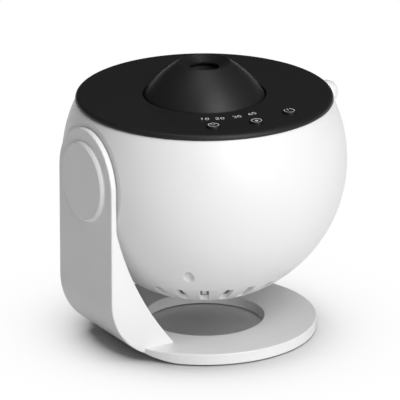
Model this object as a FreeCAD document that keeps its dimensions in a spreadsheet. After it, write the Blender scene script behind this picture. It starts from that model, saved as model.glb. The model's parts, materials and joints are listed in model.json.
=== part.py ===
"""Tabletop planetarium projector on a one-armed stand.

A round projector head hangs on a pivot at the top of a flat arm that grows out of a ring-shaped
base. The head is a spherical bowl closed by a flat plate with a focusing cone, three push buttons
and, inside, a lamp, a lens, a turning film disc in a pull-out tray, a fan and two circuit boards.

Frame: millimetres, +Z up, the origin on the table at the centre of the base ring. The arm stands
at -X, the buttons face -Y, the tray pulls out along +X. The pivot runs along X.
"""
import FreeCAD, Part
import math
import os
import Sketcher

App = FreeCAD

# ----------------------------------------------------------------------------------------------
# Driving sizes, in millimetres and degrees
# ----------------------------------------------------------------------------------------------

SIZES = {
    # Clearances
    "side_clearance": 0.1,          # loose fits and pieces that drop into a seat
    "running_gap": 0.05,            # faces and shafts that slide on each other
    "thread_gap": 0.02,             # a screw in its own hole, threads left out

    # Base ring and arm
    "foot_height": 0.6,
    "ring_radius": 61.3,
    "ring_bore_radius": 32.7,
    "ring_height": 6.1,
    "ring_wall": 2.0,
    "ring_roof": 1.6,
    "ring_edge": 0.5,
    "arm_thickness": 3.4,
    "arm_half_width": 29.1,
    "bend_to_gusset": 3.7,          # flat underside between the bend and the gusset's foot
    "gusset_drop": 21.8,            # from the pivot down to where the arm starts to thicken
    "gusset_inset": 2.9,            # from the ring's bore to where the gusset meets its top
    "gusset_arc_radius": 172.0,
    "gusset_wall": 2.6,
    "bowl_lift": 19.8,              # from the table up to the bowl's lowest point
    "bowl_gap": 0.6,                # between the bowl and the gusset behind it

    # What closes the base
    "weight_thickness": 3.0,
    "cover_thickness": 1.5,
    "foot_inset": 6.8,              # from the ring's edge to the foot's middle
    "foot_width": 5.0,
    "foot_seat_depth": 0.7,
    "base_screw_inset": 8.5,        # from the foot's middle to the screws' circle
    "base_screw_angle": 40.0,
    "base_boss_radius": 2.8,

    # Pivot
    "facet_depth": 7.1,             # how far the flat at the pivot cuts into the ball
    "facet_gap": 0.4,               # between the bowl's flat and the arm
    "hub_radius": 7.0,
    "hub_flange_radius": 15.0,
    "hub_flange_thickness": 3.0,
    "hub_bore_radius": 3.5,
    "hub_screw_circle": 11.2,
    "washer_radius": 15.5,
    "washer_thickness": 1.2,
    "arm_recess_radius": 19.0,
    "arm_recess_depth": 1.8,
    "bush_radius": 9.0,
    "bush_flange_radius": 12.0,
    "bush_flange_thickness": 0.8,
    "spring_radius": 11.5,
    "spring_thickness": 0.7,
    "nut_radius": 10.2,
    "nut_thickness": 1.6,
    "cap_radius": 22.0,
    "cap_proud": 2.5,
    "cap_wall": 0.9,
    "cap_edge": 1.1,
    "cap_skirt_wall": 1.5,
    "stop_circle": 24.0,
    "stop_pin_radius": 1.6,
    "stop_pin_height": 1.5,
    "stop_groove_depth": 1.5,
    "tilt_limit": 90.0,

    # Bowl
    "bowl_radius": 77.5,
    "bowl_wall": 2.4,
    "bowl_rim_rise": 34.4,          # from the pivot up to the rim
    "pad_thickness": 4.6,           # the bowl's wall behind the pivot
    "pad_radius": 19.0,
    "vent_count": 24,
    "vent_width": 4.6,
    "vent_length": 15.0,
    "vent_to_well": 10.7,           # from the vents' outer ends to the circle of the wells
    "baffle_gap": 0.3,
    "baffle_wall": 1.6,
    "baffle_rib_width": 2.5,
    "baffle_rim": 4.0,
    "well_angle": 52.2,
    "well_radius": 2.85,
    "well_wall": 1.6,
    "well_roof_drop": 33.3,         # from the pivot down to the wells' ends
    "well_roof": 2.0,

    # Power inlet
    "jack_drop": 13.3,              # from the pivot down to the inlet
    "jack_radius": 4.5,
    "jack_flange_radius": 6.2,
    "jack_flange_thickness": 0.9,
    "jack_length": 13.5,
    "jack_bore_radius": 2.8,
    "jack_bore_depth": 9.5,
    "jack_pin_radius": 1.0,
    "jack_pad_radius": 8.0,
    "jack_pad_thickness": 4.2,
    "jack_nut_radius": 6.8,
    "jack_nut_thickness": 2.2,

    # Top plate
    "plate_overhang": 0.55,         # beyond the bowl's rim
    "plate_thickness": 2.8,
    "plate_rounding": 2.3,
    "plate_skirt_depth": 1.8,
    "plate_skirt_wall": 1.6,
    "plate_boss_radius": 3.2,
    "plate_screw_inset": 12.0,      # from the plate's edge
    "plate_screw_lag": 12.0,        # each plate screw stands this far round from a leg

    # Focusing cone and lens
    "cone_radius": 32.5,
    "cone_gap": 1.1,
    "cone_rise": 18.0,
    "cone_flank_radius": 60.0,
    "cone_wall": 2.2,
    "cone_flange_radius": 35.6,
    "cone_flange_thickness": 2.0,
    "crown_radius": 14.2,
    "crown_land": 1.0,
    "crown_step_drop": 0.6,
    "aperture_radius": 8.0,
    "aperture_lip": 1.2,
    "sleeve_wall": 1.85,
    "barrel_radius": 12.0,
    "barrel_wall": 1.6,
    "barrel_length": 20.4,
    "barrel_lug_reach": 15.5,
    "barrel_lug_width": 3.2,
    "barrel_lug_height": 2.0,
    "focus_travel": 2.0,
    "lens_seat_width": 1.2,
    "lens_edge": 2.4,
    "lens_dome": 2.4,
    "front_seat_depth": 6.6,
    "rear_seat_depth": 4.8,
    "lens_ring_width": 1.0,
    "lens_ring_height": 2.0,
    "guide_radius": 17.5,
    "guide_flange_radius": 36.0,
    "guide_flange_thickness": 2.0,
    "guide_half_width": 29.8,
    "guide_screw_x": 33.2,
    "guide_screw_y": 8.0,

    # Buttons
    "button_inset": 14.4,           # from the plate's edge
    "button_spread": 25.0,
    "button_radius": 3.75,
    "button_proud": 1.35,
    "button_rounding": 0.35,
    "button_flange_radius": 4.9,
    "button_flange_thickness": 0.8,
    "button_stem_radius": 1.6,
    "button_stem_length": 0.9,
    "button_travel": 0.7,
    "control_board_drop": 4.1,      # from the plate's underside down to the board
    "control_board_thickness": 1.6,
    "control_board_inward": 6.6,    # from the buttons' circle to the board's inner edge
    "control_board_outward": 5.4,   # and to its outer edge
    "control_board_half_angle": 32.5,
    "control_boss_angle": 12.5,
    "control_boss_radius": 2.4,
    "switch_size": 6.0,
    "switch_height": 2.1,
    "switch_well_radius": 1.9,

    # Chassis
    "deck_inset": 1.16,             # from the bowl's rim, inside, to the upper deck
    "upper_deck_bore_radius": 30.5,
    "upper_deck_thickness": 2.0,
    "tray_room": 8.7,               # between the two decks
    "lower_deck_step": 5.6,         # how much smaller the lower deck's radius is
    "lower_deck_thickness": 2.4,
    "light_hole_radius": 17.5,
    "rail_wall": 2.7,
    "rail_lip_width": 1.7,
    "rail_lip_thickness": 1.2,
    "rail_front_gap": 4.0,          # from the rails' front ends to the tray's front face
    "leg_radius": 3.6,
    "leg_inset": 3.5,               # from the upper deck's edge
    "column_spacing": 21.5,
    "column_radius": 3.2,

    # Film tray
    "tray_half_width": 30.0,
    "tray_thickness": 2.1,
    "door_room": 2.07,              # from the tray's front face to the bowl's inside beside it
    "tray_back": 26.0,
    "tray_arm_width": 3.0,
    "tray_hole_radius": 23.0,
    "tray_end_gap": 2.0,            # from the tray's arms to the rails' back ends
    "tray_wall_thickness": 2.0,
    "tray_wall_height": 5.0,
    "tray_wall_half_width": 24.0,
    "tray_screw_spacing": 15.0,
    "door_half_width": 29.9,
    "door_height": 9.8,
    "door_gap": 0.4,
    "knob_radius": 6.4,
    "knob_sunk": 0.5,               # the knob's centre inside the bowl's outer face
    "knob_drop": 0.1,               # the knob's centre above the door's middle

    # Film disc and its drive
    "gear_module": 0.8,
    "gear_teeth": 64,
    "gear_thickness": 2.5,
    "gear_spigot_depth": 1.8,
    "pinion_teeth": 12,
    "pinion_height": 2.8,
    "mesh_gap": 0.15,
    "film_radius": 21.4,
    "film_thickness": 0.7,
    "film_seat_depth": 1.2,
    "film_view_radius": 19.6,
    "motor_length": 24.0,
    "motor_width": 12.0,
    "motor_depth": 10.0,
    "motor_shaft_radius": 1.5,
    "motor_screw_spacing": 9.0,

    # Lamp
    "lamp_height": 32.5,            # from the heat sink's top up to the lower deck
    "lamp_tube_radius": 19.0,
    "lamp_tube_wall": 2.3,
    "lamp_flange_radius": 22.0,
    "lamp_flange_thickness": 3.0,
    "condenser_seat_height": 14.0,
    "condenser_edge": 3.0,
    "condenser_dome": 6.0,
    "led_board_radius": 15.0,
    "led_board_thickness": 1.6,
    "led_size": 5.0,
    "led_thickness": 0.9,
    "led_dome_radius": 2.1,
    "sink_half_size": 25.5,
    "sink_base_thickness": 4.0,
    "fin_count": 9,
    "fin_pitch": 4.2,
    "fin_thickness": 1.5,
    "fin_length": 40.0,
    "fin_height": 18.0,

    # Fan
    "fan_size": 40.0,
    "fan_depth": 10.0,
    "fan_duct_radius": 19.2,
    "fan_screw_spacing": 16.0,
    "fan_hub_radius": 9.5,
    "fan_tip_radius": 18.6,
    "fan_blade_count": 7,
    "fan_blade_thickness": 1.3,
    "fan_blade_sweep": 5.0,
    "fan_base_thickness": 1.6,
    "fan_pin_radius": 1.2,

    # Main circuit board
    "main_board_length": 60.0,
    "main_board_width": 24.0,
    "main_board_inset": 17.0,       # from the lower deck's edge to the board's middle
    "main_board_thickness": 1.6,
    "main_board_drop": 5.0,
    "main_board_boss_x": 25.0,
    "main_board_boss_y": 7.5,
    "main_board_boss_radius": 2.5,

    # Screws
    "small_shank_radius": 1.0,
    "small_head_radius": 1.9,
    "small_head_height": 1.2,
    "large_shank_radius": 1.25,
    "large_head_radius": 2.4,
    "large_head_height": 2.0,
    "bowl_screw_length": 14.0,
}

doc = FreeCAD.newDocument("PlanetariumProjector")
sheet = doc.addObject("Spreadsheet::Sheet", "Sizes")
for row, (alias, value) in enumerate(SIZES.items(), start=1):
    sheet.set(f"A{row}", alias)
    sheet.set(f"B{row}", str(value))
    sheet.setAlias(f"B{row}", alias)
doc.recompute()


# ----------------------------------------------------------------------------------------------
# Formulas: numbers that remember how they follow from the sheet
# ----------------------------------------------------------------------------------------------

class Formula:
    """A number together with the spreadsheet formula that gives it."""

    def __init__(self, value, text):
        self.value = value
        self.text = text

    def __add__(self, other):
        other = formula(other)
        return Formula(self.value + other.value, f"({self.text} + {other.text})")

    def __sub__(self, other):
        other = formula(other)
        return Formula(self.value - other.value, f"({self.text} - {other.text})")

    def __mul__(self, other):
        other = formula(other)
        return Formula(self.value * other.value, f"({self.text} * {other.text})")

    def __truediv__(self, other):
        other = formula(other)
        return Formula(self.value / other.value, f"({self.text} / {other.text})")

    def __neg__(self):
        return Formula(-self.value, f"(0 - {self.text})")

    def __radd__(self, other):
        return formula(other) + self

    def __rsub__(self, other):
        return formula(other) - self

    def __rmul__(self, other):
        return formula(other) * self


class NamedSizes:
    """Gives each size of the sheet as a formula: s.bowl_radius."""

    def __getattr__(self, alias):
        return Formula(SIZES[alias], f"Sizes.{alias}")


def formula(number):
    """A plain number as a formula, and a formula as it is."""
    if isinstance(number, Formula):
        return number
    return Formula(float(number), repr(float(number)))


def root(number):
    """Square root."""
    number = formula(number)
    return Formula(math.sqrt(number.value), f"sqrt({number.text})")


def leg(hypotenuse, side):
    """The other short side of a right-angled triangle."""
    return root(hypotenuse * hypotenuse - side * side)


def sine(angle):
    """Sine of an angle in degrees."""
    angle = formula(angle)
    return Formula(math.sin(math.radians(angle.value)), f"sin({angle.text})")


def cosine(angle):
    """Cosine of an angle in degrees."""
    angle = formula(angle)
    return Formula(math.cos(math.radians(angle.value)), f"cos({angle.text})")


def polar(radius, angle):
    """The x and y of a point on a circle about the origin."""
    return radius * cosine(angle), radius * sine(angle)


s = NamedSizes()

# Heights above the table that several pieces share
pivot_height = s.bowl_lift + s.bowl_radius
gusset_top = pivot_height - s.gusset_drop
well_roof_height = pivot_height - s.well_roof_drop
jack_height = pivot_height - s.jack_drop
ring_top = s.foot_height + s.ring_height
channel_top = ring_top - s.ring_roof
cover_top = s.foot_height + s.cover_thickness
plate_under = pivot_height + s.bowl_rim_rise
plate_top = plate_under + s.plate_thickness
cone_top = plate_top + s.cone_rise
upper_deck_top = plate_under - s.cone_flange_thickness - s.running_gap * 2
upper_deck_under = upper_deck_top - s.upper_deck_thickness
lower_deck_top = upper_deck_under - s.tray_room
lower_deck_under = lower_deck_top - s.lower_deck_thickness
tray_under = lower_deck_top + s.running_gap
tray_top = tray_under + s.tray_thickness
gear_top = tray_top + s.gear_thickness
door_top = upper_deck_under - s.door_gap
door_under = door_top - s.door_height
barrel_under = gear_top + s.focus_travel + 0.65
barrel_top = barrel_under + s.barrel_length
sleeve_under = barrel_under + s.barrel_lug_height + s.focus_travel + 0.3
sink_top = lower_deck_under - s.lamp_height
sink_under = sink_top - s.sink_base_thickness
fin_under = sink_under - s.fin_height
fan_under = fin_under - s.fan_depth
well_top = well_roof_height + s.well_roof
button_flange_under = plate_under - s.side_clearance - s.button_flange_thickness
button_stem_under = button_flange_under - s.button_stem_length
control_board_top = plate_under - s.control_board_drop
main_board_top = lower_deck_under - s.main_board_drop

# Distances from the centre out to the arm, along -X
facet = s.bowl_radius - s.facet_depth
pad_inner = facet - s.pad_thickness
arm_inner = facet + s.facet_gap
arm_reach = arm_inner + s.arm_thickness
gusset_foot = s.ring_bore_radius + s.gusset_inset
bend_foot = gusset_foot + s.bend_to_gusset
arm_bend_radius = arm_reach - bend_foot
base_end = bend_foot - s.side_clearance
recess_floor = arm_reach - s.arm_recess_depth
spring_start = recess_floor + s.bush_flange_thickness
nut_start = spring_start + s.spring_thickness
nut_end = nut_start + s.nut_thickness

# Radii that follow from neighbours
bowl_inner = s.bowl_radius - s.bowl_wall
rim_radius = leg(s.bowl_radius, s.bowl_rim_rise)
rim_inner = leg(bowl_inner, s.bowl_rim_rise)
plate_radius = rim_radius + s.plate_overhang
plate_screw_circle = plate_radius - s.plate_screw_inset
button_circle = plate_radius - s.button_inset
control_board_inner = button_circle - s.control_board_inward
control_board_outer = button_circle + s.control_board_outward
upper_deck_radius = rim_inner - s.deck_inset
lower_deck_radius = upper_deck_radius - s.lower_deck_step
well_circle = upper_deck_radius - s.leg_inset
vent_outer_radius = well_circle - s.vent_to_well
vent_inner_radius = vent_outer_radius - s.vent_length
main_board_middle = lower_deck_radius - s.main_board_inset
foot_circle = s.ring_radius - s.foot_inset
base_screw_circle = foot_circle - s.base_screw_inset
plate_hole_radius = s.cone_radius + s.cone_gap
sleeve_bore = s.barrel_radius + s.running_gap
gear_pitch_radius = s.gear_module * s.gear_teeth / 2
pinion_pitch_radius = s.gear_module * s.pinion_teeth / 2
pinion_x = -(gear_pitch_radius + pinion_pitch_radius + s.mesh_gap)
lens_bore = s.barrel_radius - s.barrel_wall
lens_radius = lens_bore - s.running_gap
rail_inner = s.tray_half_width + s.side_clearance * 3
rail_outer = rail_inner + s.rail_wall
tray_front_face = leg(leg(bowl_inner, door_top - pivot_height), s.door_half_width) - s.door_room
knob_centre = s.bowl_radius - s.knob_sunk
rail_front = tray_front_face - s.rail_front_gap
rail_back = leg(lower_deck_radius, rail_outer) - s.side_clearance
tray_arm_end = rail_back - s.tray_end_gap


# ----------------------------------------------------------------------------------------------
# Drawing helpers
# ----------------------------------------------------------------------------------------------

UPRIGHT = App.Rotation()
TO_ARM = App.Rotation(App.Vector(0, 1, 0), -90)         # local Z along -X
DOWN_THE_ARM = App.Rotation(App.Vector(1, 0, -1), 180)  # the same, with local X pointing down
TO_FRONT_DOOR = App.Rotation(App.Vector(0, 1, 0), 90)   # local Z along +X
TO_BACK = App.Rotation(App.Vector(1, 0, 0), -90)        # local Z along +Y
HEAD_UP = App.Rotation(App.Vector(1, 0, 0), 180)        # a screw driven downwards

pieces = []


def bind(thing, **formulas):
    """Bind properties to formulas; a double underscore stands for a dot."""
    for name, value in formulas.items():
        thing.setExpression(name.replace("__", "."), formula(value).text)


def place(thing, x=0, y=0, z=0, turn=UPRIGHT, spin=None):
    """Turn a thing, then bind its position; spin is an angle about Z that is a formula."""
    thing.Placement = App.Placement(App.Vector(), turn)
    if spin is not None:
        spin = formula(spin)
        thing.Placement = App.Placement(App.Vector(), App.Rotation(App.Vector(0, 0, 1), spin.value))
        bind(thing, Placement__Rotation__Angle=spin)
    bind(thing, Placement__Base__x=x, Placement__Base__y=y, Placement__Base__z=z)
    return thing


def cylinder(name, radius, height, x=0, y=0, z=0, turn=UPRIGHT):
    """A solid cylinder that starts at (x, y, z)."""
    made = doc.addObject("Part::Cylinder", name)
    bind(made, Radius=radius, Height=height)
    return place(made, x, y, z, turn)


def ring(name, outer, inner, height, x=0, y=0, z=0, turn=UPRIGHT):
    """A cylinder with a round hole right through."""
    solid = cylinder(name + "_solid", outer, height, x, y, z, turn)
    hole = cylinder(name + "_hole", inner, height, x, y, z, turn)
    return cut(name, solid, [hole])


def sector(name, outer, inner, height, z, middle, half_angle):
    """A piece of a flat ring, symmetric about the direction called middle."""
    solid = doc.addObject("Part::Cylinder", name + "_solid")
    bind(solid, Radius=outer, Height=height, Angle=half_angle * 2)
    place(solid, z=z, spin=middle - half_angle)
    return cut(name, solid, [cylinder(name + "_hole", inner, height, z=z)])


def block(name, x, y, z):
    """A box between pairs of coordinates."""
    made = doc.addObject("Part::Box", name)
    bind(made, Length=x[1] - x[0], Width=y[1] - y[0], Height=z[1] - z[0])
    return place(made, x[0], y[0], z[0])


def radial_block(name, radius, length, width, z, angle):
    """A box from z[0] to z[1] whose middle lies on a circle, its length pointing outwards."""
    made = doc.addObject("Part::Box", name)
    bind(made, Length=length, Width=width, Height=z[1] - z[0])
    out, side = radius - length / 2, width / 2
    x = out * cosine(angle) + side * sine(angle)
    y = out * sine(angle) - side * cosine(angle)
    return place(made, x, y, z[0], spin=angle)


def ball(name, radius, x=0, y=0, z=0):
    """A solid ball."""
    made = doc.addObject("Part::Sphere", name)
    bind(made, Radius=radius)
    return place(made, x, y, z)


def fuse(name, things):
    """Join solids into one."""
    made = doc.addObject("Part::MultiFuse", name)
    made.Shapes = things
    return made


def cut(name, base, tools):
    """Take tools away from base."""
    made = doc.addObject("Part::Cut", name)
    made.Base = base
    made.Tool = tools[0] if len(tools) == 1 else fuse(name + "_tools", tools)
    return made


def common(name, things):
    """What all the things share."""
    made = doc.addObject("Part::MultiCommon", name)
    made.Shapes = things
    return made


def group(name, things):
    """Separate solids of one kind, kept together."""
    made = doc.addObject("Part::Compound", name)
    made.Links = things
    return made


def origin_part(body, role):
    """One of a body's own origin planes or axes."""
    return next(part for part in body.Origin.OriginFeatures if part.Role == role)


def sketch(body, role, name, rise=0):
    """A sketch on one of the body's own origin planes, lifted off it by rise."""
    made = body.newObject("Sketcher::SketchObject", name)
    made.AttachmentSupport = (origin_part(body, role), [""])
    made.MapMode = "FlatFace"
    bind(made, AttachmentOffset__Base__z=rise)
    return made


def arc_between(start, end, radius):
    """The short arc from start to end, counter-clockwise for a positive radius."""
    chord = end - start
    if radius < 0:
        return arc_between(end, start, -radius)
    rise = math.sqrt(max(radius ** 2 - (chord.Length / 2) ** 2, 0))
    left = App.Vector(-chord.y, chord.x, 0).normalize()
    centre = (start + end) / 2 + left * rise
    first = math.atan2(start.y - centre.y, start.x - centre.x)
    last = math.atan2(end.y - centre.y, end.x - centre.x)
    return Part.ArcOfCircle(Part.Circle(centre, App.Vector(0, 0, 1), radius), first, last)


def outline(target, corners, arcs=None):
    """Draw a closed outline; arcs gives the radius of the edges that are arcs, by number."""
    arcs = arcs or {}
    corners = [(formula(x), formula(y)) for x, y in corners]
    points = [App.Vector(x.value, y.value, 0) for x, y in corners]
    count = len(points)
    ends = []
    for number, start in enumerate(points):
        end = points[(number + 1) % count]
        radius = formula(arcs.get(number, 0))
        if number in arcs:
            edge = target.addGeometry(arc_between(start, end, radius.value), False)
            ends.append((edge, 1, 2) if radius.value > 0 else (edge, 2, 1))
        else:
            edge = target.addGeometry(Part.LineSegment(start, end), False)
            ends.append((edge, 1, 2))
    for number, (edge, _, last) in enumerate(ends):
        following, first, _ = ends[(number + 1) % count]
        target.addConstraint(Sketcher.Constraint("Coincident", edge, last, following, first))
    for (edge, first, _), (x, y) in zip(ends, corners):
        for kind, value in (("DistanceX", x), ("DistanceY", y)):
            constraint = Sketcher.Constraint(kind, -1, 1, edge, first, value.value)
            number = target.addConstraint(constraint)
            target.setExpression(f"Constraints[{number}]", value.text)
    for number, radius in arcs.items():
        edge = ends[number][0]
        radius = formula(radius)
        size = radius if radius.value > 0 else -radius
        placed = target.addConstraint(Sketcher.Constraint("Radius", edge, size.value))
        target.setExpression(f"Constraints[{placed}]", size.text)


def turned(name, profile, arcs=None, x=0, y=0, z=0, turn=UPRIGHT):
    """A body of revolution about its own Z from a profile of (radius, height) corners."""
    body = doc.addObject("PartDesign::Body", name)
    drawn = sketch(body, "XZ_Plane", name + "_profile")
    outline(drawn, profile, arcs)
    revolved = body.newObject("PartDesign::Revolution", name + "_revolution")
    revolved.Profile = drawn
    revolved.ReferenceAxis = (drawn, ["V_Axis"])
    revolved.Angle = 360
    return place(body, x, y, z, turn)


def padded(body, role, name, corners, length, rise=0, arcs=None, symmetric=False):
    """Add to a body a straight pad of an outline on one of its origin planes."""
    drawn = sketch(body, role, name + "_outline", rise)
    outline(drawn, corners, arcs)
    pad = body.newObject("PartDesign::Pad", name)
    pad.Profile = drawn
    bind(pad, Length=length)
    if symmetric:
        pad.SideType = "Symmetric"
    return pad


def patterned(body, feature, name, count):
    """Repeat a feature round the body's Z axis and make the pattern the body's tip."""
    pattern = body.newObject("PartDesign::PolarPattern", name)
    pattern.Originals = [feature]
    pattern.Axis = (origin_part(body, "Z_Axis"), [""])
    pattern.Angle = 360
    bind(pattern, Occurrences=count)
    body.Tip = pattern
    return pattern


def screw(name, size, length, x, y, z, turn=UPRIGHT, sunk=False):
    """A screw whose head ends at its local Z of 0, with the shank above it.

    size is small or large, and a sunk head is a cone.
    """
    shank = getattr(s, size + "_shank_radius")
    head = getattr(s, size + "_head_radius")
    height = getattr(s, size + "_head_height")
    socket = shank * 0.6
    neck = shank if sunk else head
    profile = [
        (0, -height / 2), (socket, -height / 2), (socket, -height), (head, -height),
        (neck, 0), (shank, 0), (shank, length), (0, length)]
    if sunk:
        del profile[5]
    return turned(name, profile, x=x, y=y, z=z, turn=turn)


def screw_hole(size, name, length, x, y, z, turn=UPRIGHT):
    """The hole for a screw's shank."""
    radius = getattr(s, size + "_shank_radius") + s.thread_gap
    return cylinder(name, radius, length, x, y, z, turn)


def piece(label, made):
    """Enter a finished sub-part under its name."""
    made.Label = label
    pieces.append(made)
    return made


def corners_of(half_x, half_y):
    """The four corners of a rectangle about the origin."""
    return [(half_x, half_y), (-half_x, half_y), (-half_x, -half_y), (half_x, -half_y)]


def well_places():
    """The axes of the four long screws that hold the bowl to the chassis."""
    return [polar(well_circle, s.well_angle + 90 * quarter) for quarter in range(4)]


def plate_screw_places():
    """The axes of the four screws that hold the top plate to the chassis."""
    angles = [s.well_angle - s.plate_screw_lag + 90 * quarter for quarter in range(4)]
    return [polar(plate_screw_circle, angle) for angle in angles]


def base_screw_places():
    """The axes of the four screws of the base cover."""
    return [polar(base_screw_circle, s.base_screw_angle + 90 * quarter) for quarter in range(4)]


def control_boss_places():
    """The two bosses that carry the control board, either side of the middle button."""
    return [polar(button_circle, -90 + side * s.control_boss_angle) for side in (-1, 1)]


def button_angles():
    """Directions of the timer, mode and power buttons."""
    return {"timer": -90 - s.button_spread, "mode": formula(-90), "power": -90 + s.button_spread}


def main_board_places():
    """The four screws of the main board."""
    half = corners_of(s.main_board_boss_x, s.main_board_boss_y)
    return [(x, main_board_middle + y) for x, y in half]


def hub_screw_places():
    """Local x and y of the three screws round the pivot hub."""
    return [polar(s.hub_screw_circle, 90 + 120 * third) for third in range(3)]


# ----------------------------------------------------------------------------------------------
# Stand
# ----------------------------------------------------------------------------------------------

def gusset_centre():
    """Centre of the arc that runs from the ring's top up to the arm's inner face."""
    low_x, low_z = -gusset_foot, ring_top
    high_x, high_z = -arm_inner, gusset_top
    across, up = high_x - low_x, high_z - low_z
    length = root(across * across + up * up)
    rise = leg(s.gusset_arc_radius, length / 2)
    return (low_x + high_x) / 2 + rise * up / length, (low_z + high_z) / 2 - rise * across / length


def make_arm():
    """The arm, its bend and its gusset as one profile, rounded at the top about the pivot."""
    body = doc.addObject("PartDesign::Body", "arm")
    arm_top = pivot_height + s.arm_half_width
    profile = [
        (-arm_reach, arm_top),
        (-arm_reach, s.foot_height + arm_bend_radius),
        (-bend_foot, s.foot_height),
        (-gusset_foot, s.foot_height),
        (-gusset_foot, ring_top),
        (-arm_inner, gusset_top),
        (-arm_inner, arm_top)]
    arcs = {1: arm_bend_radius, 4: -s.gusset_arc_radius}
    padded(body, "XZ_Plane", "arm_profile", profile, s.arm_half_width * 2, arcs=arcs, symmetric=True)
    round_top = cylinder("arm_round", s.arm_half_width, arm_reach * 2, arm_reach, 0,
                         pivot_height, TO_ARM)
    below = block("arm_below_pivot", (-arm_reach, arm_reach),
                  (-s.arm_half_width, s.arm_half_width), (0, pivot_height))
    return common("arm_rounded", [body, fuse("arm_outline", [round_top, below])])


def make_arm_core():
    """The hollow inside the gusset, one wall in from every outer face."""
    centre_x, centre_z = gusset_centre()
    wall = s.gusset_wall
    radius = s.gusset_arc_radius + wall
    back = -(arm_reach - wall)
    floor = s.foot_height + wall
    tip = centre_z - leg(radius, centre_x - back)
    front = centre_x - leg(radius, centre_z - floor)
    profile = [
        (back, tip),
        (back, s.foot_height + arm_bend_radius),
        (-bend_foot, floor),
        (front, floor)]
    arcs = {1: arm_bend_radius - wall, 3: -radius}
    body = doc.addObject("PartDesign::Body", "arm_core")
    width = (s.arm_half_width - wall) * 2
    padded(body, "XZ_Plane", "arm_core_profile", profile, width, arcs=arcs, symmetric=True)
    kept = ball("core_limit", s.bowl_radius + s.bowl_gap + wall, z=pivot_height)
    return cut("arm_core_hollow", body, [kept])


def make_below_bend(name, wall=0):
    """What lies under the arm's bend, out to both sides, less a wall that stays there."""
    far, radius = arm_reach + s.arm_thickness, arm_bend_radius - wall
    profile = [
        (-far, -s.foot_height),
        (-bend_foot, -s.foot_height),
        (-bend_foot, s.foot_height + wall),
        (-bend_foot - radius, s.foot_height + arm_bend_radius),
        (-far, s.foot_height + arm_bend_radius)]
    body = doc.addObject("PartDesign::Body", name)
    padded(body, "XZ_Plane", name + "_profile", profile, far * 2, arcs={2: -radius},
           symmetric=True)
    return body


def cut_at_bend(name, thing):
    """A piece of the base, ended where the ring starts to rise into the bend."""
    beyond = block(name + "_beyond", (-arm_reach, -base_end), (-arm_reach, arm_reach),
                   (-s.foot_height, ring_top))
    return cut(name, thing, [beyond])


def make_stop_groove():
    """The round-ended groove that the bowl's stop pin runs in, open towards the bowl."""
    half_width = s.stop_pin_radius + s.side_clearance * 2
    inner, outer = s.stop_circle - half_width, s.stop_circle + half_width
    deep = arm_inner + s.stop_groove_depth
    body = doc.addObject("PartDesign::Body", "groove_arc")
    drawn = sketch(body, "XZ_Plane", "groove_section")
    outline(drawn, [(inner, arm_inner), (outer, arm_inner), (outer, deep), (inner, deep)])
    revolved = body.newObject("PartDesign::Revolution", "groove_revolution")
    revolved.Profile = drawn
    revolved.ReferenceAxis = (drawn, ["V_Axis"])
    revolved.Midplane = True
    bind(revolved, Angle=s.tilt_limit * 2)
    place(body, z=pivot_height, turn=DOWN_THE_ARM)
    ends = [cylinder("groove_end", half_width, s.stop_groove_depth, -arm_inner,
                     s.stop_circle * sine(s.tilt_limit) * side,
                     pivot_height - s.stop_circle * cosine(s.tilt_limit), TO_ARM)
            for side in (-1, 1)]
    return fuse("stop_groove", [body] + ends)


def make_stand_frame():
    """The one-piece moulding of ring and arm; the bend's underside goes on into the ring."""
    full_band = turned("ring_band", [
        (s.ring_bore_radius, s.foot_height),
        (s.ring_radius, s.foot_height),
        (s.ring_radius, ring_top - s.ring_edge),
        (s.ring_radius - s.ring_edge, ring_top),
        (s.ring_bore_radius + s.ring_edge, ring_top),
        (s.ring_bore_radius, ring_top - s.ring_edge)], arcs={2: s.ring_edge, 4: s.ring_edge})
    band = cut("band_at_bend", full_band, [make_below_bend("below_bend")])
    relief = common("bowl_relief", [
        ball("relief_ball", s.bowl_radius + s.bowl_gap, z=pivot_height),
        block("relief_side", (-arm_inner, arm_reach), (-arm_reach, arm_reach),
              (0, pivot_height * 2))])
    full_channel = ring("full_channel", s.ring_radius - s.ring_wall,
                        s.ring_bore_radius + s.ring_wall, channel_top - s.foot_height,
                        z=s.foot_height)
    channel = cut("channel", full_channel, [make_below_bend("below_channel", s.ring_wall)])
    bore = cylinder("bush_bore", s.bush_radius, s.arm_thickness * 2,
                    -arm_inner + s.arm_thickness, 0, pivot_height, TO_ARM)
    recess = cylinder("cap_recess", s.arm_recess_radius, s.arm_recess_depth, -recess_floor, 0,
                      pivot_height, TO_ARM)
    shell = cut("stand_shell", fuse("stand_solid", [make_arm(), band]),
                [relief, channel, make_arm_core(), bore, recess, make_stop_groove()])
    bosses = [cylinder("base_boss", s.base_boss_radius, channel_top - cover_top + s.ring_roof / 2,
                       x, y, cover_top) for x, y in base_screw_places()]
    holes = [screw_hole("large", "base_boss_hole", channel_top - cover_top + s.ring_roof / 2,
                        x, y, cover_top) for x, y in base_screw_places()]
    piece("stand_frame", cut("stand_frame", fuse("stand_with_bosses", [shell] + bosses), holes))


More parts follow.
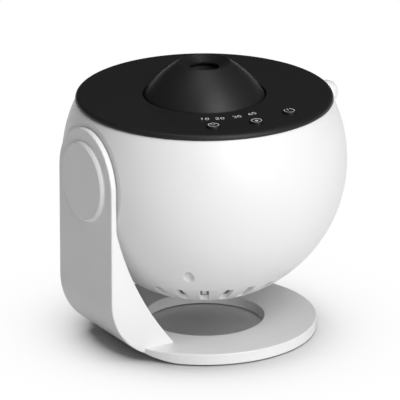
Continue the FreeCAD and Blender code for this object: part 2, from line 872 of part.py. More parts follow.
def make_base():
    """The steel weight, the cover under it, the rubber foot and the cover's screws."""
    inner = s.ring_bore_radius + s.ring_wall + s.side_clearance
    outer = s.ring_radius - s.ring_wall - s.side_clearance
    weight = ring("weight_ring", outer, inner, s.weight_thickness, z=cover_top)
    room = [cylinder("weight_hole", s.base_boss_radius + s.side_clearance, s.weight_thickness,
                     x, y, cover_top) for x, y in base_screw_places()]
    piece("base_weight", cut_at_bend("base_weight", cut("drilled_weight", weight, room)))

    cover = ring("cover_ring", outer, inner, s.cover_thickness, z=s.foot_height)
    foot_inner, foot_outer = foot_circle - s.foot_width / 2, foot_circle + s.foot_width / 2
    seat = ring("foot_seat", foot_outer + s.side_clearance, foot_inner - s.side_clearance,
                s.foot_seat_depth, z=s.foot_height)
    sinks = []
    for x, y in base_screw_places():
        countersink = doc.addObject("Part::Cone", "countersink")
        bind(countersink, Radius1=s.large_head_radius + s.side_clearance,
             Radius2=s.large_shank_radius + s.side_clearance, Height=s.cover_thickness)
        sinks.append(place(countersink, x, y, s.foot_height))
    piece("base_cover", cut_at_bend("base_cover", cut("drilled_cover", cover, [seat] + sinks)))

    full_foot = ring("full_foot", foot_outer, foot_inner, s.foot_height + s.foot_seat_depth)
    piece("foot_ring", cut_at_bend("foot_ring", full_foot))

    screws = []
    for x, y in base_screw_places():
        shank, head = s.large_shank_radius, s.large_head_radius
        low, high = s.foot_height, cover_top
        profile = [
            (0, low + 0.9), (shank * 0.6, low + 0.9), (shank * 0.6, low), (head, low),
            (shank, high), (shank, channel_top), (0, channel_top)]
        screws.append(turned("base_screw", profile, x=x, y=y))
    piece("base_screws", group("base_screws", screws))


# ----------------------------------------------------------------------------------------------
# Pivot: local Z runs outwards along -X, from the ring's centre
# ----------------------------------------------------------------------------------------------

def pivot_turned(name, profile, arcs=None):
    """A turned piece on the pivot, its heights measured from the centre out to the arm."""
    return turned(name, profile, arcs, z=pivot_height, turn=TO_ARM)


def pivot_tube(name, outer, inner, start, end):
    """A plain collar on the pivot."""
    return pivot_turned(name, [(inner, start), (outer, start), (outer, end), (inner, end)])


def make_pivot():
    """Hub, washer, bush, disc spring, nut, cap and the hub's screws."""
    flange_start = pad_inner - s.hub_flange_thickness
    bore = s.hub_radius + s.running_gap
    hub = pivot_turned("hub_turned", [
        (s.hub_bore_radius, flange_start),
        (s.hub_flange_radius, flange_start),
        (s.hub_flange_radius, pad_inner),
        (s.hub_radius, pad_inner),
        (s.hub_radius, nut_end),
        (s.hub_bore_radius, nut_end)])
    holes = [screw_hole("large", "hub_hole", s.hub_flange_thickness, -flange_start, y,
                        pivot_height + z, TO_ARM) for y, z in hub_screw_places()]
    piece("pivot_hub", cut("pivot_hub", hub, holes))

    washer_start = facet - (s.washer_thickness - s.facet_gap)
    piece("friction_washer", pivot_tube("friction_washer", s.washer_radius, bore, washer_start,
                                        washer_start + s.washer_thickness))

    piece("pivot_bush", pivot_turned("pivot_bush", [
        (bore, arm_inner + s.running_gap),
        (s.bush_radius, arm_inner + s.running_gap),
        (s.bush_radius, recess_floor),
        (s.bush_flange_radius, recess_floor),
        (s.bush_flange_radius, spring_start),
        (bore, spring_start)]))

    piece("disc_spring", pivot_tube("disc_spring", s.spring_radius, bore,
                                    spring_start + s.running_gap, nut_start))

    blank = doc.addObject("Part::Prism", "nut_blank")
    blank.Polygon = 6
    bind(blank, Circumradius=s.nut_radius, Height=s.nut_thickness)
    place(blank, -nut_start, 0, pivot_height, TO_ARM)
    thread = cylinder("nut_thread", s.hub_radius + s.thread_gap, s.nut_thickness, -nut_start, 0,
                      pivot_height, TO_ARM)
    piece("pivot_nut", cut("pivot_nut", blank, [thread]))

    face = arm_reach + s.cap_proud
    skirt = s.arm_recess_radius - s.side_clearance
    piece("pivot_cap", pivot_turned("pivot_cap", [
        (0, face - s.cap_wall),
        (skirt - s.cap_skirt_wall, face - s.cap_wall),
        (skirt - s.cap_skirt_wall, recess_floor),
        (skirt, recess_floor),
        (skirt, arm_reach),
        (s.cap_radius, arm_reach),
        (s.cap_radius, face - s.cap_edge),
        (s.cap_radius - s.cap_edge, face),
        (0, face)]))

    length = s.hub_flange_thickness + s.pad_thickness * 0.65
    screws = [screw("hub_screw", "large", length, -flange_start, y, pivot_height + z, TO_ARM)
              for y, z in hub_screw_places()]
    piece("hub_screws", group("hub_screws", screws))


# ----------------------------------------------------------------------------------------------
# Bowl
# ----------------------------------------------------------------------------------------------

def make_bowl_envelope(name):
    """The bowl as if it were solid: a ball cut flat at the rim and at the arm."""
    far = s.bowl_radius * 2
    above = block(name + "_above", (-far, far), (-far, far), (plate_under, plate_under + far))
    beside = block(name + "_beside", (-facet - far, -facet), (-far, far), (0, plate_under + far))
    solid = ball(name + "_ball", s.bowl_radius, z=pivot_height)
    return cut(name, solid, [above, beside])


def make_vents():
    """The upright slots through the lower bowl, round at their inner ends, as one cutter."""
    body = doc.addObject("PartDesign::Body", "vent_cutter")
    half = s.vent_width / 2
    inner, outer = vent_inner_radius + half, vent_outer_radius
    slot = [(inner, -half), (outer, -half), (outer, half), (inner, half)]
    reach = pivot_height - s.bowl_radius / 2
    pad = padded(body, "XY_Plane", "vent_slot", slot, reach, arcs={3: half * 1.001})
    patterned(body, pad, "vent_ring", s.vent_count)
    return body


def make_bowl():
    """The white spherical bowl."""
    hollow = cut("bowl_hollow", ball("hollow_ball", bowl_inner, z=pivot_height), [
        block("flat_wall", (-s.bowl_radius * 2, -facet + s.bowl_wall),
              (-s.bowl_radius, s.bowl_radius), (0, pivot_height * 2)),
        cylinder("pivot_pad", s.pad_radius, s.bowl_radius, -pad_inner, 0, pivot_height, TO_ARM)])
    shell = cut("bowl_wall", make_bowl_envelope("bowl_solid"), [hollow])

    well_bosses = [cylinder("well_boss", s.well_radius + s.well_wall, well_top, x, y)
                   for x, y in well_places()]
    jack_pad = cylinder("jack_pad", s.jack_pad_radius, s.jack_pad_thickness * 2, 0,
                        jack_face() - s.jack_pad_thickness, jack_height, TO_BACK)
    added = common("bowl_inside", [make_bowl_envelope("bowl_limit"),
                                   fuse("bowl_bosses", well_bosses + [jack_pad])])
    stop_pin = cylinder("stop_pin", s.stop_pin_radius, s.stop_pin_height + s.washer_thickness,
                        -facet + s.washer_thickness, 0, pivot_height - s.stop_circle, TO_ARM)
    body = fuse("bowl_body", [shell, added, stop_pin])

    wells = [cylinder("well", s.well_radius, well_roof_height, x, y) for x, y in well_places()]
    holes = [screw_hole("large", "well_hole", well_top, x, y, 0) for x, y in well_places()]
    hub_hole = cylinder("hub_hole", s.hub_radius + s.running_gap, s.pad_thickness * 2,
                        -pad_inner + s.pad_thickness / 2, 0, pivot_height, TO_ARM)
    seat = cylinder("washer_seat", s.washer_radius + s.side_clearance, s.washer_thickness,
                    -facet + s.washer_thickness - s.facet_gap, 0, pivot_height, TO_ARM)
    hub_screws = [screw_hole("large", "hub_screw_hole", s.pad_thickness * 0.65, -pad_inner, y,
                             pivot_height + z, TO_ARM) for y, z in hub_screw_places()]
    side = s.door_half_width + s.door_gap
    window = block("tray_window", (0, s.bowl_radius * 2), (-side, side),
                   (door_under - s.door_gap, door_top + s.door_gap))
    jack_seat = cylinder("jack_seat", s.jack_flange_radius + s.side_clearance,
                         s.bowl_radius, 0, jack_face(), jack_height, TO_BACK)
    jack_hole = cylinder("jack_hole", s.jack_radius + s.thread_gap, s.bowl_radius, 0,
                         s.bowl_radius / 2, jack_height, TO_BACK)
    piece("bowl_shell", cut("bowl_shell", body, [make_vents(), hub_hole, seat, window, jack_seat,
                                                 jack_hole] + wells + holes + hub_screws))


def make_vent_baffle():
    """The inner liner whose narrow ribs stand behind the vents."""
    outer = bowl_inner - s.baffle_gap
    inner = outer - s.baffle_wall
    skin = cut("baffle_skin", ball("baffle_ball", outer, z=pivot_height),
               [ball("baffle_void", inner, z=pivot_height)])
    low = vent_inner_radius - s.baffle_rim
    high = vent_outer_radius + s.baffle_rim
    height = pivot_height - leg(outer, high)
    zone = ring("baffle_zone", high, low, height)
    windows = [ring("baffle_windows", vent_outer_radius, vent_inner_radius, height)]
    body = doc.addObject("PartDesign::Body", "baffle_ribs")
    half = s.baffle_rib_width / 2
    middle = [(low, -half), (high, -half), (high, half), (low, half)]
    rib = padded(body, "XY_Plane", "baffle_rib", middle, height)
    patterned(body, rib, "baffle_rib_ring", s.vent_count)
    spokes = fuse("baffle_spokes", [cut("baffle_rings", zone, windows), body])
    trimmed = common("baffle_trimmed", [skin, spokes])
    room = [cylinder("baffle_boss_room", s.well_radius + s.well_wall + s.baffle_gap, height, x, y)
            for x, y in well_places()]
    piece("vent_baffle", cut("vent_baffle", trimmed, room))


def jack_face():
    """How far back the flat seat of the power inlet lies in the bowl's outer face."""
    drop = pivot_height - jack_height
    return root(s.bowl_radius * s.bowl_radius - drop * drop
                - s.jack_flange_radius * s.jack_flange_radius) - s.jack_flange_thickness


def make_power_jack():
    """The round power inlet at the back of the bowl and the nut that holds it."""
    face = jack_face()
    end = face + s.jack_flange_thickness
    low = face - s.jack_length
    socket_floor = end - s.jack_bore_depth
    body = turned("power_jack", [
        (0, low),
        (s.jack_radius, low),
        (s.jack_radius, face),
        (s.jack_flange_radius, face),
        (s.jack_flange_radius, end),
        (s.jack_bore_radius, end),
        (s.jack_bore_radius, socket_floor),
        (s.jack_pin_radius, socket_floor),
        (s.jack_pin_radius, end - 1.5),
        (0, end - 1.5)], z=jack_height, turn=TO_BACK)
    piece("power_jack", body)
    start = face - s.jack_pad_thickness - s.jack_nut_thickness
    blank = doc.addObject("Part::Prism", "jack_nut_blank")
    blank.Polygon = 6
    bind(blank, Circumradius=s.jack_nut_radius, Height=s.jack_nut_thickness)
    place(blank, 0, start, jack_height, TO_BACK)
    thread = cylinder("jack_nut_thread", s.jack_radius + s.thread_gap, s.jack_nut_thickness, 0,
                      start, jack_height, TO_BACK)
    piece("jack_nut", cut("jack_nut", blank, [thread]))


# ----------------------------------------------------------------------------------------------
# Top plate and buttons
# ----------------------------------------------------------------------------------------------

def make_top_plate():
    """The black plate that closes the bowl."""
    skirt_outer = rim_inner - s.side_clearance
    skirt_inner = skirt_outer - s.plate_skirt_wall
    skirt_under = plate_under - s.plate_skirt_depth
    disc = turned("plate_turned", [
        (plate_hole_radius, plate_under),
        (skirt_inner, plate_under),
        (skirt_inner, skirt_under),
        (skirt_outer, skirt_under),
        (skirt_outer, plate_under),
        (plate_radius, plate_under),
        (plate_radius, plate_top - s.plate_rounding),
        (plate_radius - s.plate_rounding, plate_top),
        (plate_hole_radius, plate_top)], arcs={6: s.plate_rounding})
    bosses = [cylinder("plate_boss", s.plate_boss_radius, plate_under - upper_deck_top, x, y,
                       upper_deck_top) for x, y in plate_screw_places()]
    bosses += [cylinder("control_boss", s.control_boss_radius, s.control_board_drop, x, y,
                        control_board_top) for x, y in control_boss_places()]
    depth = plate_under + s.plate_thickness * 0.6
    holes = [screw_hole("large", "plate_boss_hole", depth - upper_deck_top, x, y, upper_deck_top)
             for x, y in plate_screw_places()]
    holes += [screw_hole("small", "control_boss_hole", depth - control_board_top, x, y,
                         control_board_top) for x, y in control_boss_places()]
    for angle in button_angles().values():
        x, y = polar(button_circle, angle)
        holes.append(cylinder("button_hole", s.button_radius + s.side_clearance,
                              s.plate_thickness, x, y, plate_under))
    piece("top_plate", cut("top_plate", fuse("plate_with_bosses", [disc] + bosses), holes))

    thickness = s.upper_deck_thickness
    screws = [screw("plate_screw", "large", depth - upper_deck_under, x, y, upper_deck_under)
              for x, y in plate_screw_places()]
    piece("plate_screws", group("plate_screws", screws))


def make_buttons():
    """The three round push buttons."""
    top = plate_top + s.button_proud
    flange_top = button_flange_under + s.button_flange_thickness
    for name, angle in button_angles().items():
        x, y = polar(button_circle, angle)
        piece(name + "_button", turned(name + "_button", [
            (0, button_stem_under),
            (s.button_stem_radius, button_stem_under),
            (s.button_stem_radius, button_flange_under),
            (s.button_flange_radius, button_flange_under),
            (s.button_flange_radius, flange_top),
            (s.button_radius, flange_top),
            (s.button_radius, top - s.button_rounding),
            (s.button_radius - s.button_rounding, top),
            (0, top)], arcs={6: s.button_rounding}, x=x, y=y))


def make_control_board():
    """The curved board under the buttons, its three switches and two screws."""
    under = control_board_top - s.control_board_thickness
    board = sector("control_sector", control_board_outer, control_board_inner,
                   s.control_board_thickness, under, formula(-90), s.control_board_half_angle)
    holes = [screw_hole("small", "control_hole", s.control_board_thickness, x, y, under)
             for x, y in control_boss_places()]
    piece("control_board", cut("control_board", board, holes))

    switches = []
    top = control_board_top + s.switch_height
    well_floor = button_stem_under - s.button_travel - s.side_clearance * 3
    for angle in button_angles().values():
        case = radial_block("switch_case", button_circle, s.switch_size, s.switch_size,
                            (control_board_top, top), angle)
        x, y = polar(button_circle, angle)
        well = cylinder("switch_well", s.switch_well_radius, top - well_floor, x, y, well_floor)
        switches.append(cut("switch", case, [well]))
    piece("button_switches", group("button_switches", switches))

    length = s.control_board_thickness + s.control_board_drop
    screws = [screw("control_screw", "small", length, x, y, under)
              for x, y in control_boss_places()]
    piece("control_screws", group("control_screws", screws))


# ----------------------------------------------------------------------------------------------
# Focusing cone and lens
# ----------------------------------------------------------------------------------------------

def make_focus_cone():
    """The cone that is turned to focus, with its stepped crown and threaded sleeve."""
    steps = 4
    step_width = (s.crown_radius - s.crown_land - s.aperture_radius) / steps
    crown = []
    for step in range(steps):
        radius = s.crown_radius - s.crown_land - step_width * step
        crown.append((radius, cone_top - s.crown_step_drop * step))
        crown.append((radius, cone_top - s.crown_step_drop * (step + 1)))
    crown_floor = cone_top - s.crown_step_drop * steps
    ceiling = crown_floor - s.aperture_lip
    flange_under = upper_deck_top + s.running_gap
    sleeve_outer = sleeve_bore + s.sleeve_wall
    slope = s.cone_rise / (s.cone_radius - s.crown_radius)
    drop = s.cone_wall * 1.42
    skirt_inner = s.cone_radius - s.cone_wall
    hollow_top = plate_top + (s.cone_radius - sleeve_outer) * slope - drop
    hollow_edge = plate_top + s.cone_wall * slope - drop
    profile = [
        (s.cone_flange_radius, flange_under),
        (s.cone_flange_radius, plate_under - s.running_gap),
        (s.cone_radius, plate_under - s.running_gap),
        (s.cone_radius, plate_top),
        (s.crown_radius, cone_top)] + crown + [
        (s.aperture_radius, crown_floor),
        (s.aperture_radius, ceiling),
        (sleeve_bore, ceiling),
        (sleeve_bore, sleeve_under),
        (sleeve_outer, sleeve_under),
        (sleeve_outer, hollow_top),
        (skirt_inner, hollow_edge),
        (skirt_inner, flange_under)]
    piece("focus_cone", turned("focus_cone", profile, arcs={3: s.cone_flank_radius}))


def make_lens():
    """Barrel, two lenses, their rings, the guide that stops the barrel turning, its screws."""
    front_seat = barrel_top - s.front_seat_depth
    rear_seat = barrel_under + s.rear_seat_depth
    narrow = lens_bore - s.lens_seat_width
    tube = turned("barrel_turned", [
        (lens_bore, barrel_under),
        (s.barrel_radius, barrel_under),
        (s.barrel_radius, barrel_top),
        (lens_bore, barrel_top),
        (lens_bore, front_seat),
        (narrow, front_seat),
        (narrow, rear_seat),
        (lens_bore, rear_seat)])
    half = s.barrel_lug_width / 2
    lugs = block("barrel_lugs", (-s.barrel_lug_reach, s.barrel_lug_reach), (-half, half),
                 (barrel_under, barrel_under + s.barrel_lug_height))
    opened = cylinder("barrel_lug_bore", lens_bore, s.barrel_lug_height, z=barrel_under)
    lugs = cut("barrel_lug_pair", lugs, [opened])
    piece("lens_barrel", fuse("lens_barrel", [tube, lugs]))

    dome_radius = (narrow * narrow + s.lens_dome * s.lens_dome) / (s.lens_dome * 2)
    for name, seat, up in (("front", front_seat, 1), ("rear", rear_seat, -1)):
        edge, tip = seat + up * s.lens_edge, seat + up * (s.lens_edge + s.lens_dome)
        profile = [(0, seat), (lens_radius, seat), (lens_radius, edge), (narrow, edge), (0, tip)]
        piece(name + "_lens", turned(name + "_lens", profile, arcs={3: up * dome_radius}))
        bore = lens_radius - s.lens_ring_width
        far = edge + up * s.lens_ring_height
        piece(name + "_lens_ring", turned(name + "_lens_ring", [
            (bore, edge), (lens_radius, edge), (lens_radius, far), (bore, far)]))

    flange_under = upper_deck_under - s.guide_flange_thickness
    tube_under = gear_top + s.focus_travel * 0.375
    tube_top = barrel_under + s.barrel_lug_height + s.focus_travel + s.side_clearance
    bore = sleeve_bore + s.sleeve_wall + s.side_clearance * 4
    flange = common("guide_flange", [
        cylinder("guide_disc", s.guide_flange_radius, s.guide_flange_thickness, z=flange_under),
        block("guide_flats", (-s.guide_flange_radius, s.guide_flange_radius),
              (-s.guide_half_width, s.guide_half_width), (flange_under, upper_deck_under))])
    guide_tube = cylinder("guide_tube", s.guide_radius, tube_top - tube_under, z=tube_under)
    slot_reach = s.barrel_lug_reach + s.side_clearance * 4
    slot_half = half + s.side_clearance
    slots = block("guide_slots", (-slot_reach, slot_reach), (-slot_half, slot_half),
                  (tube_under, tube_top))
    opening = cylinder("guide_bore", bore, tube_top - tube_under, z=tube_under)
    places = corners_of(s.guide_screw_x, s.guide_screw_y)
    holes = [screw_hole("small", "guide_hole", s.guide_flange_thickness, x, y, flange_under)
             for x, y in places]
    piece("lens_guide", cut("lens_guide", fuse("guide_solid", [flange, guide_tube]),
                            [slots, opening] + holes))
    length = s.guide_flange_thickness + s.upper_deck_thickness * 0.9
    screws = [screw("guide_screw", "small", length, x, y, flange_under) for x, y in places]
    piece("guide_screws", group("guide_screws", screws))


# ----------------------------------------------------------------------------------------------
# Chassis
# ----------------------------------------------------------------------------------------------

def make_chassis():
    """The black inner frame: two decks, tray rails, legs, lamp columns and bosses."""
    upper = ring("upper_deck", upper_deck_radius, s.upper_deck_bore_radius,
                 s.upper_deck_thickness, z=upper_deck_under)
    lower = cylinder("lower_deck", lower_deck_radius, s.lower_deck_thickness, z=lower_deck_under)
    tongue = block("lower_tongue", (0, rail_front), (-rail_outer, rail_outer),
                   (lower_deck_under, lower_deck_top))
    added = [upper, lower, tongue]
    lip_under = tray_top + s.side_clearance
    for side in (-1, 1):
        wall = sorted_pair(rail_inner * side, rail_outer * side)
        added.append(block("rail_wall", (-rail_back, rail_front), wall,
                           (lower_deck_under, upper_deck_under)))
        lip = sorted_pair((rail_inner - s.rail_lip_width) * side, rail_inner * side)
        added.append(block("rail_lip", (-rail_back, rail_front), lip,
                           (lip_under, lip_under + s.rail_lip_thickness)))
    added += [cylinder("chassis_leg", s.leg_radius, upper_deck_top - well_top, x, y, well_top)
              for x, y in well_places()]
    columns = corners_of(s.column_spacing, s.column_spacing)
    added += [cylinder("lamp_column", s.column_radius, s.lamp_height, x, y, sink_top)
              for x, y in columns]
    added += [cylinder("board_boss", s.main_board_boss_radius, s.main_board_drop, x, y,
                       main_board_top) for x, y in main_board_places()]

    margin = s.side_clearance * 15
    front_gap = sector("control_gap", control_board_outer + margin,
                       control_board_inner - margin, s.upper_deck_thickness, upper_deck_under,
                       formula(-90), s.control_board_half_angle + 1.5)
    light = cylinder("light_hole", s.light_hole_radius, s.lower_deck_thickness, z=lower_deck_under)
    shaft = cylinder("shaft_hole", s.motor_shaft_radius * 1.4, s.lower_deck_thickness, pinion_x, 0,
                     lower_deck_under)
    removed = [front_gap, light, shaft]
    removed += [screw_hole("large", "leg_hole", s.bowl_screw_length, x, y, well_top - s.well_roof)
                for x, y in well_places()]
    removed += [screw_hole("large", "column_hole", s.bowl_screw_length, x, y, sink_top)
                for x, y in columns]
    removed += [screw_hole("small", "board_boss_hole", s.main_board_drop, x, y, main_board_top)
                for x, y in main_board_places()]
    removed += [screw_hole("large", "deck_hole", s.upper_deck_thickness, x, y, upper_deck_under)
                for x, y in plate_screw_places()]
    removed += [cylinder("driver_room", s.large_head_radius + s.side_clearance * 3,
                         upper_deck_under - lower_deck_under, x, y, lower_deck_under)
                for x, y in plate_screw_places()]
    removed += [screw_hole("small", "deck_guide_hole", s.upper_deck_thickness, x, y,
                           upper_deck_under)
                for x, y in corners_of(s.guide_screw_x, s.guide_screw_y)]
    for side in (-1, 1):
        y = s.motor_screw_spacing * side / 2
        removed.append(screw_hole("small", "motor_hole", s.lower_deck_thickness, pinion_x, y,
                                  lower_deck_under))
        removed.append(cylinder("motor_head_room", s.small_head_radius + s.side_clearance,
                                s.small_head_height, pinion_x, y,
                                lower_deck_top - s.small_head_height))
    piece("chassis", cut("chassis", fuse("chassis_solid", added), removed))

    screws = [screw("bowl_screw", "large", s.bowl_screw_length, x, y, well_roof_height)
              for x, y in well_places()]
    piece("bowl_screws", group("bowl_screws", screws))


def sorted_pair(first, second):
    """Two formulas with the smaller one first."""
    return (first, second) if first.value <= second.value else (second, first)


# ----------------------------------------------------------------------------------------------
# Film tray, film disc and its drive
# ----------------------------------------------------------------------------------------------

def make_tray():
    """The sliding tray, its curved front with the knob, and the screws between them."""
    wide = s.tray_half_width
    plate = block("tray_plate", (-s.tray_back, tray_front_face), (-wide, wide),
                  (tray_under, tray_top))
    arms = [block("tray_arm", (-tray_arm_end, -s.tray_back),
                  sorted_pair((wide - s.tray_arm_width) * side, wide * side),
                  (tray_under, tray_top)) for side in (-1, 1)]
    wall_top = tray_under + s.tray_thickness + s.tray_wall_height
    wall = block("tray_wall", (tray_front_face - s.tray_wall_thickness, tray_front_face),
                 (-s.tray_wall_half_width, s.tray_wall_half_width), (tray_under, wall_top))
    hole = cylinder("tray_hole", s.tray_hole_radius, s.tray_thickness, z=tray_under)
    height = tray_top + s.tray_wall_height / 2
    start = tray_front_face - s.tray_wall_thickness
    holes = [screw_hole("small", "tray_screw_hole", s.tray_wall_thickness, start, y, height,
                        TO_FRONT_DOOR) for y in (-s.tray_screw_spacing, s.tray_screw_spacing)]
    piece("disc_tray", cut("disc_tray", fuse("tray_solid", [plate, wall] + arms), [hole] + holes))

    outline_block = block("door_block", (tray_front_face, s.bowl_radius * 2),
                          (-s.door_half_width, s.door_half_width), (door_under, door_top))
    lug = block("door_lug", (tray_front_face, s.bowl_radius),
                (-s.tray_wall_half_width, s.tray_wall_half_width), (tray_under, wall_top))
    door = common("door_curved", [outline_block, make_bowl_envelope("door_limit")])
    hollow = cut("door_hollow", common("door_hollow_ball", [
        ball("door_inner_ball", bowl_inner, z=pivot_height),
        block("door_inner_block", (tray_front_face, s.bowl_radius * 2),
              (-s.bowl_radius, s.bowl_radius), (0, pivot_height * 2))]), [lug])
    middle = (door_under + door_top) / 2 + s.knob_drop
    knob = ball("knob", s.knob_radius, knob_centre, 0, middle)
    shell = cut("door_shell", door, [hollow])
    knob = cut("knob_trimmed", knob, [
        cut("knob_inside", ball("knob_inner_limit", bowl_inner, z=pivot_height), [lug]),
        cut("knob_beside", ball("knob_outer_limit", s.bowl_radius + s.door_gap,
                                z=pivot_height), [outline_block])])
    depth = s.tray_wall_thickness * 2.5
    blind = [screw_hole("small", "door_screw_hole", depth, tray_front_face, y, height,
                        TO_FRONT_DOOR) for y in (-s.tray_screw_spacing, s.tray_screw_spacing)]
    piece("tray_front", cut("tray_front", fuse("front_solid", [shell, knob]), blind))

    screws = [screw("tray_screw", "small", depth, start, y, height, TO_FRONT_DOOR)
              for y in (-s.tray_screw_spacing, s.tray_screw_spacing)]
    piece("tray_screws", group("tray_screws", screws))


def tooth_outline(root_radius, tip_radius):
    """Corners of one straight-flanked tooth that points along X, starting inside the root."""
    pitch = s.gear_module * math.pi
    foot, tip = pitch * 0.36, pitch * 0.13
    inside = root_radius - s.gear_module * 0.3
    return [(inside, -foot), (tip_radius, -tip), (tip_radius, tip), (inside, foot)]


def make_gear_body(name, teeth, hub_bore, thickness, z):
    """A spur gear with straight-flanked teeth, the first tooth along +X."""
    pitch_radius = s.gear_module * teeth / 2
    root_radius = pitch_radius - s.gear_module * 1.2
    tip_radius = pitch_radius + s.gear_module * 0.9
    body = doc.addObject("PartDesign::Body", name)
    drawn = sketch(body, "XY_Plane", name + "_disc", z)
    centre = App.Vector()
    for radius in (root_radius, hub_bore):
        edge = drawn.addGeometry(Part.Circle(centre, App.Vector(0, 0, 1), radius.value), False)
        drawn.addConstraint(Sketcher.Constraint("Coincident", edge, 3, -1, 1))
        number = drawn.addConstraint(Sketcher.Constraint("Radius", edge, radius.value))
        drawn.setExpression(f"Constraints[{number}]", radius.text)
    disc = body.newObject("PartDesign::Pad", name + "_disc_pad")
    disc.Profile = drawn
    bind(disc, Length=thickness)
    tooth = padded(body, "XY_Plane", name + "_tooth", tooth_outline(root_radius, tip_radius),
                   thickness, rise=z)
    patterned(body, tooth, name + "_teeth", teeth)
    return body


def make_disc_drive():
    """The ring gear, the film disc in it, the pinion with its shaft, and the motor."""
    gear = make_gear_body("gear_teeth_body", s.gear_teeth, s.film_view_radius, s.gear_thickness,
                          tray_top)
    half_tooth = formula(180) / s.gear_teeth
    place(gear, spin=half_tooth)
    spigot = ring("gear_spigot", s.tray_hole_radius - s.side_clearance, s.film_view_radius,
                  s.gear_spigot_depth + s.gear_thickness / 4, z=tray_top - s.gear_spigot_depth)
    seat = cylinder("film_seat", s.film_radius + s.side_clearance, s.film_seat_depth,
                    z=gear_top - s.film_seat_depth)
    piece("disc_gear", cut("disc_gear", fuse("gear_with_spigot", [gear, spigot]), [seat]))
    piece("film_disc", cylinder("film_disc", s.film_radius, s.film_thickness,
                                z=gear_top - s.film_seat_depth))

    pinion_z = tray_top + s.side_clearance
    pinion = make_gear_body("drive_pinion", s.pinion_teeth, s.motor_shaft_radius, s.pinion_height,
                            pinion_z)
    place(pinion, x=pinion_x)
    piece("drive_pinion", pinion)
    motor_top = lower_deck_under
    shaft_top = pinion_z + s.pinion_height
    piece("motor_shaft", cylinder("motor_shaft", s.motor_shaft_radius, shaft_top - motor_top,
                                  pinion_x, 0, motor_top))

    body = block("motor_block", (pinion_x - s.motor_depth / 2, pinion_x + s.motor_depth / 2),
                 (-s.motor_width / 2, s.motor_width / 2), (motor_top - s.motor_length, motor_top))
    ends = [(pinion_x, s.motor_screw_spacing * side / 2) for side in (-1, 1)]
    length = s.lower_deck_thickness + s.motor_shaft_radius
    holes = [screw_hole("small", "motor_screw_hole", s.motor_shaft_radius * 2, x, y,
                        motor_top - s.motor_shaft_radius * 2) for x, y in ends]
    piece("drive_motor", cut("drive_motor", body, holes))
    screws = [screw("motor_screw", "small", length, x, y, lower_deck_top - s.small_head_height,
                    HEAD_UP) for x, y in ends]
    piece("motor_screws", group("motor_screws", screws))


# ----------------------------------------------------------------------------------------------
# Lamp and fan
# ----------------------------------------------------------------------------------------------

def make_lamp():
    """Tube, condenser lens, light-emitting diode and its board."""
    bore = s.lamp_tube_radius - s.lamp_tube_wall
    ledge = bore - s.lens_seat_width * 1.8
    seat = sink_top + s.condenser_seat_height
    board_top = sink_top + s.led_board_thickness
    narrow = s.led_board_radius * 0.83
    piece("lamp_tube", turned("lamp_tube", [
        (s.led_board_radius + s.side_clearance, sink_top),
        (s.lamp_flange_radius, sink_top),
        (s.lamp_flange_radius, sink_top + s.lamp_flange_thickness),
        (s.lamp_tube_radius, sink_top + s.lamp_flange_thickness),
        (s.lamp_tube_radius, lower_deck_under),
        (bore, lower_deck_under),
        (bore, seat),
        (ledge, seat),
        (narrow, board_top),
        (s.led_board_radius + s.side_clearance, board_top)]))

    radius = bore - s.side_clearance
    land = radius - s.lens_seat_width
    dome = s.condenser_dome
    dome_radius = (land * land + dome * dome) / (dome * 2)
    edge = seat + s.condenser_edge
    piece("condenser_lens", turned("condenser_lens", [
        (0, seat), (radius, seat), (radius, edge), (land, edge), (0, edge + dome)],
        arcs={3: dome_radius}))

    piece("led_board", cylinder("led_board", s.led_board_radius, s.led_board_thickness, z=sink_top))
    half = s.led_size / 2
    package = block("led_package", (-half, half), (-half, half),
                    (board_top, board_top + s.led_thickness))
    dome = ball("led_dome", s.led_dome_radius, z=board_top + s.led_thickness)
    under = block("led_dome_under", (-s.led_size, s.led_size), (-s.led_size, s.led_size),
                  (board_top - s.led_size, board_top + s.led_thickness / 2))
    piece("led_emitter", fuse("led_emitter", [package, cut("led_lens", dome, [under])]))


def make_heat_sink():
    """The finned aluminium block that carries the lamp, and its four screws."""
    body = doc.addObject("PartDesign::Body", "sink_body")
    padded(body, "XY_Plane", "sink_base", corners_of(s.sink_half_size, s.sink_half_size),
           s.sink_base_thickness, rise=sink_under)
    half_span = s.fin_pitch * (s.fin_count - 1) / 2
    first = [(-half_span - s.fin_thickness / 2, -s.fin_length / 2),
             (-half_span + s.fin_thickness / 2, -s.fin_length / 2),
             (-half_span + s.fin_thickness / 2, s.fin_length / 2),
             (-half_span - s.fin_thickness / 2, s.fin_length / 2)]
    fin = padded(body, "XY_Plane", "sink_fin", first, s.fin_height, rise=fin_under)
    fins = body.newObject("PartDesign::LinearPattern", "sink_fins")
    fins.Originals = [fin]
    fins.Direction = (origin_part(body, "X_Axis"), [""])
    bind(fins, Length=half_span * 2, Occurrences=s.fin_count)
    body.Tip = fins
    columns = corners_of(s.column_spacing, s.column_spacing)
    holes = [screw_hole("large", "sink_hole", s.sink_base_thickness, x, y, sink_under)
             for x, y in columns]
    fan_corners = corners_of(s.fan_screw_spacing, s.fan_screw_spacing)
    holes += [screw_hole("large", "fin_hole", s.fin_height / 3, x, y, fin_under)
              for x, y in fan_corners]
    piece("heat_sink", cut("heat_sink", body, holes))
    length = s.sink_base_thickness + s.bowl_screw_length - s.running_gap * 4
    screws = [screw("lamp_screw", "large", length, x, y, sink_under) for x, y in columns]
    piece("lamp_screws", group("lamp_screws", screws))


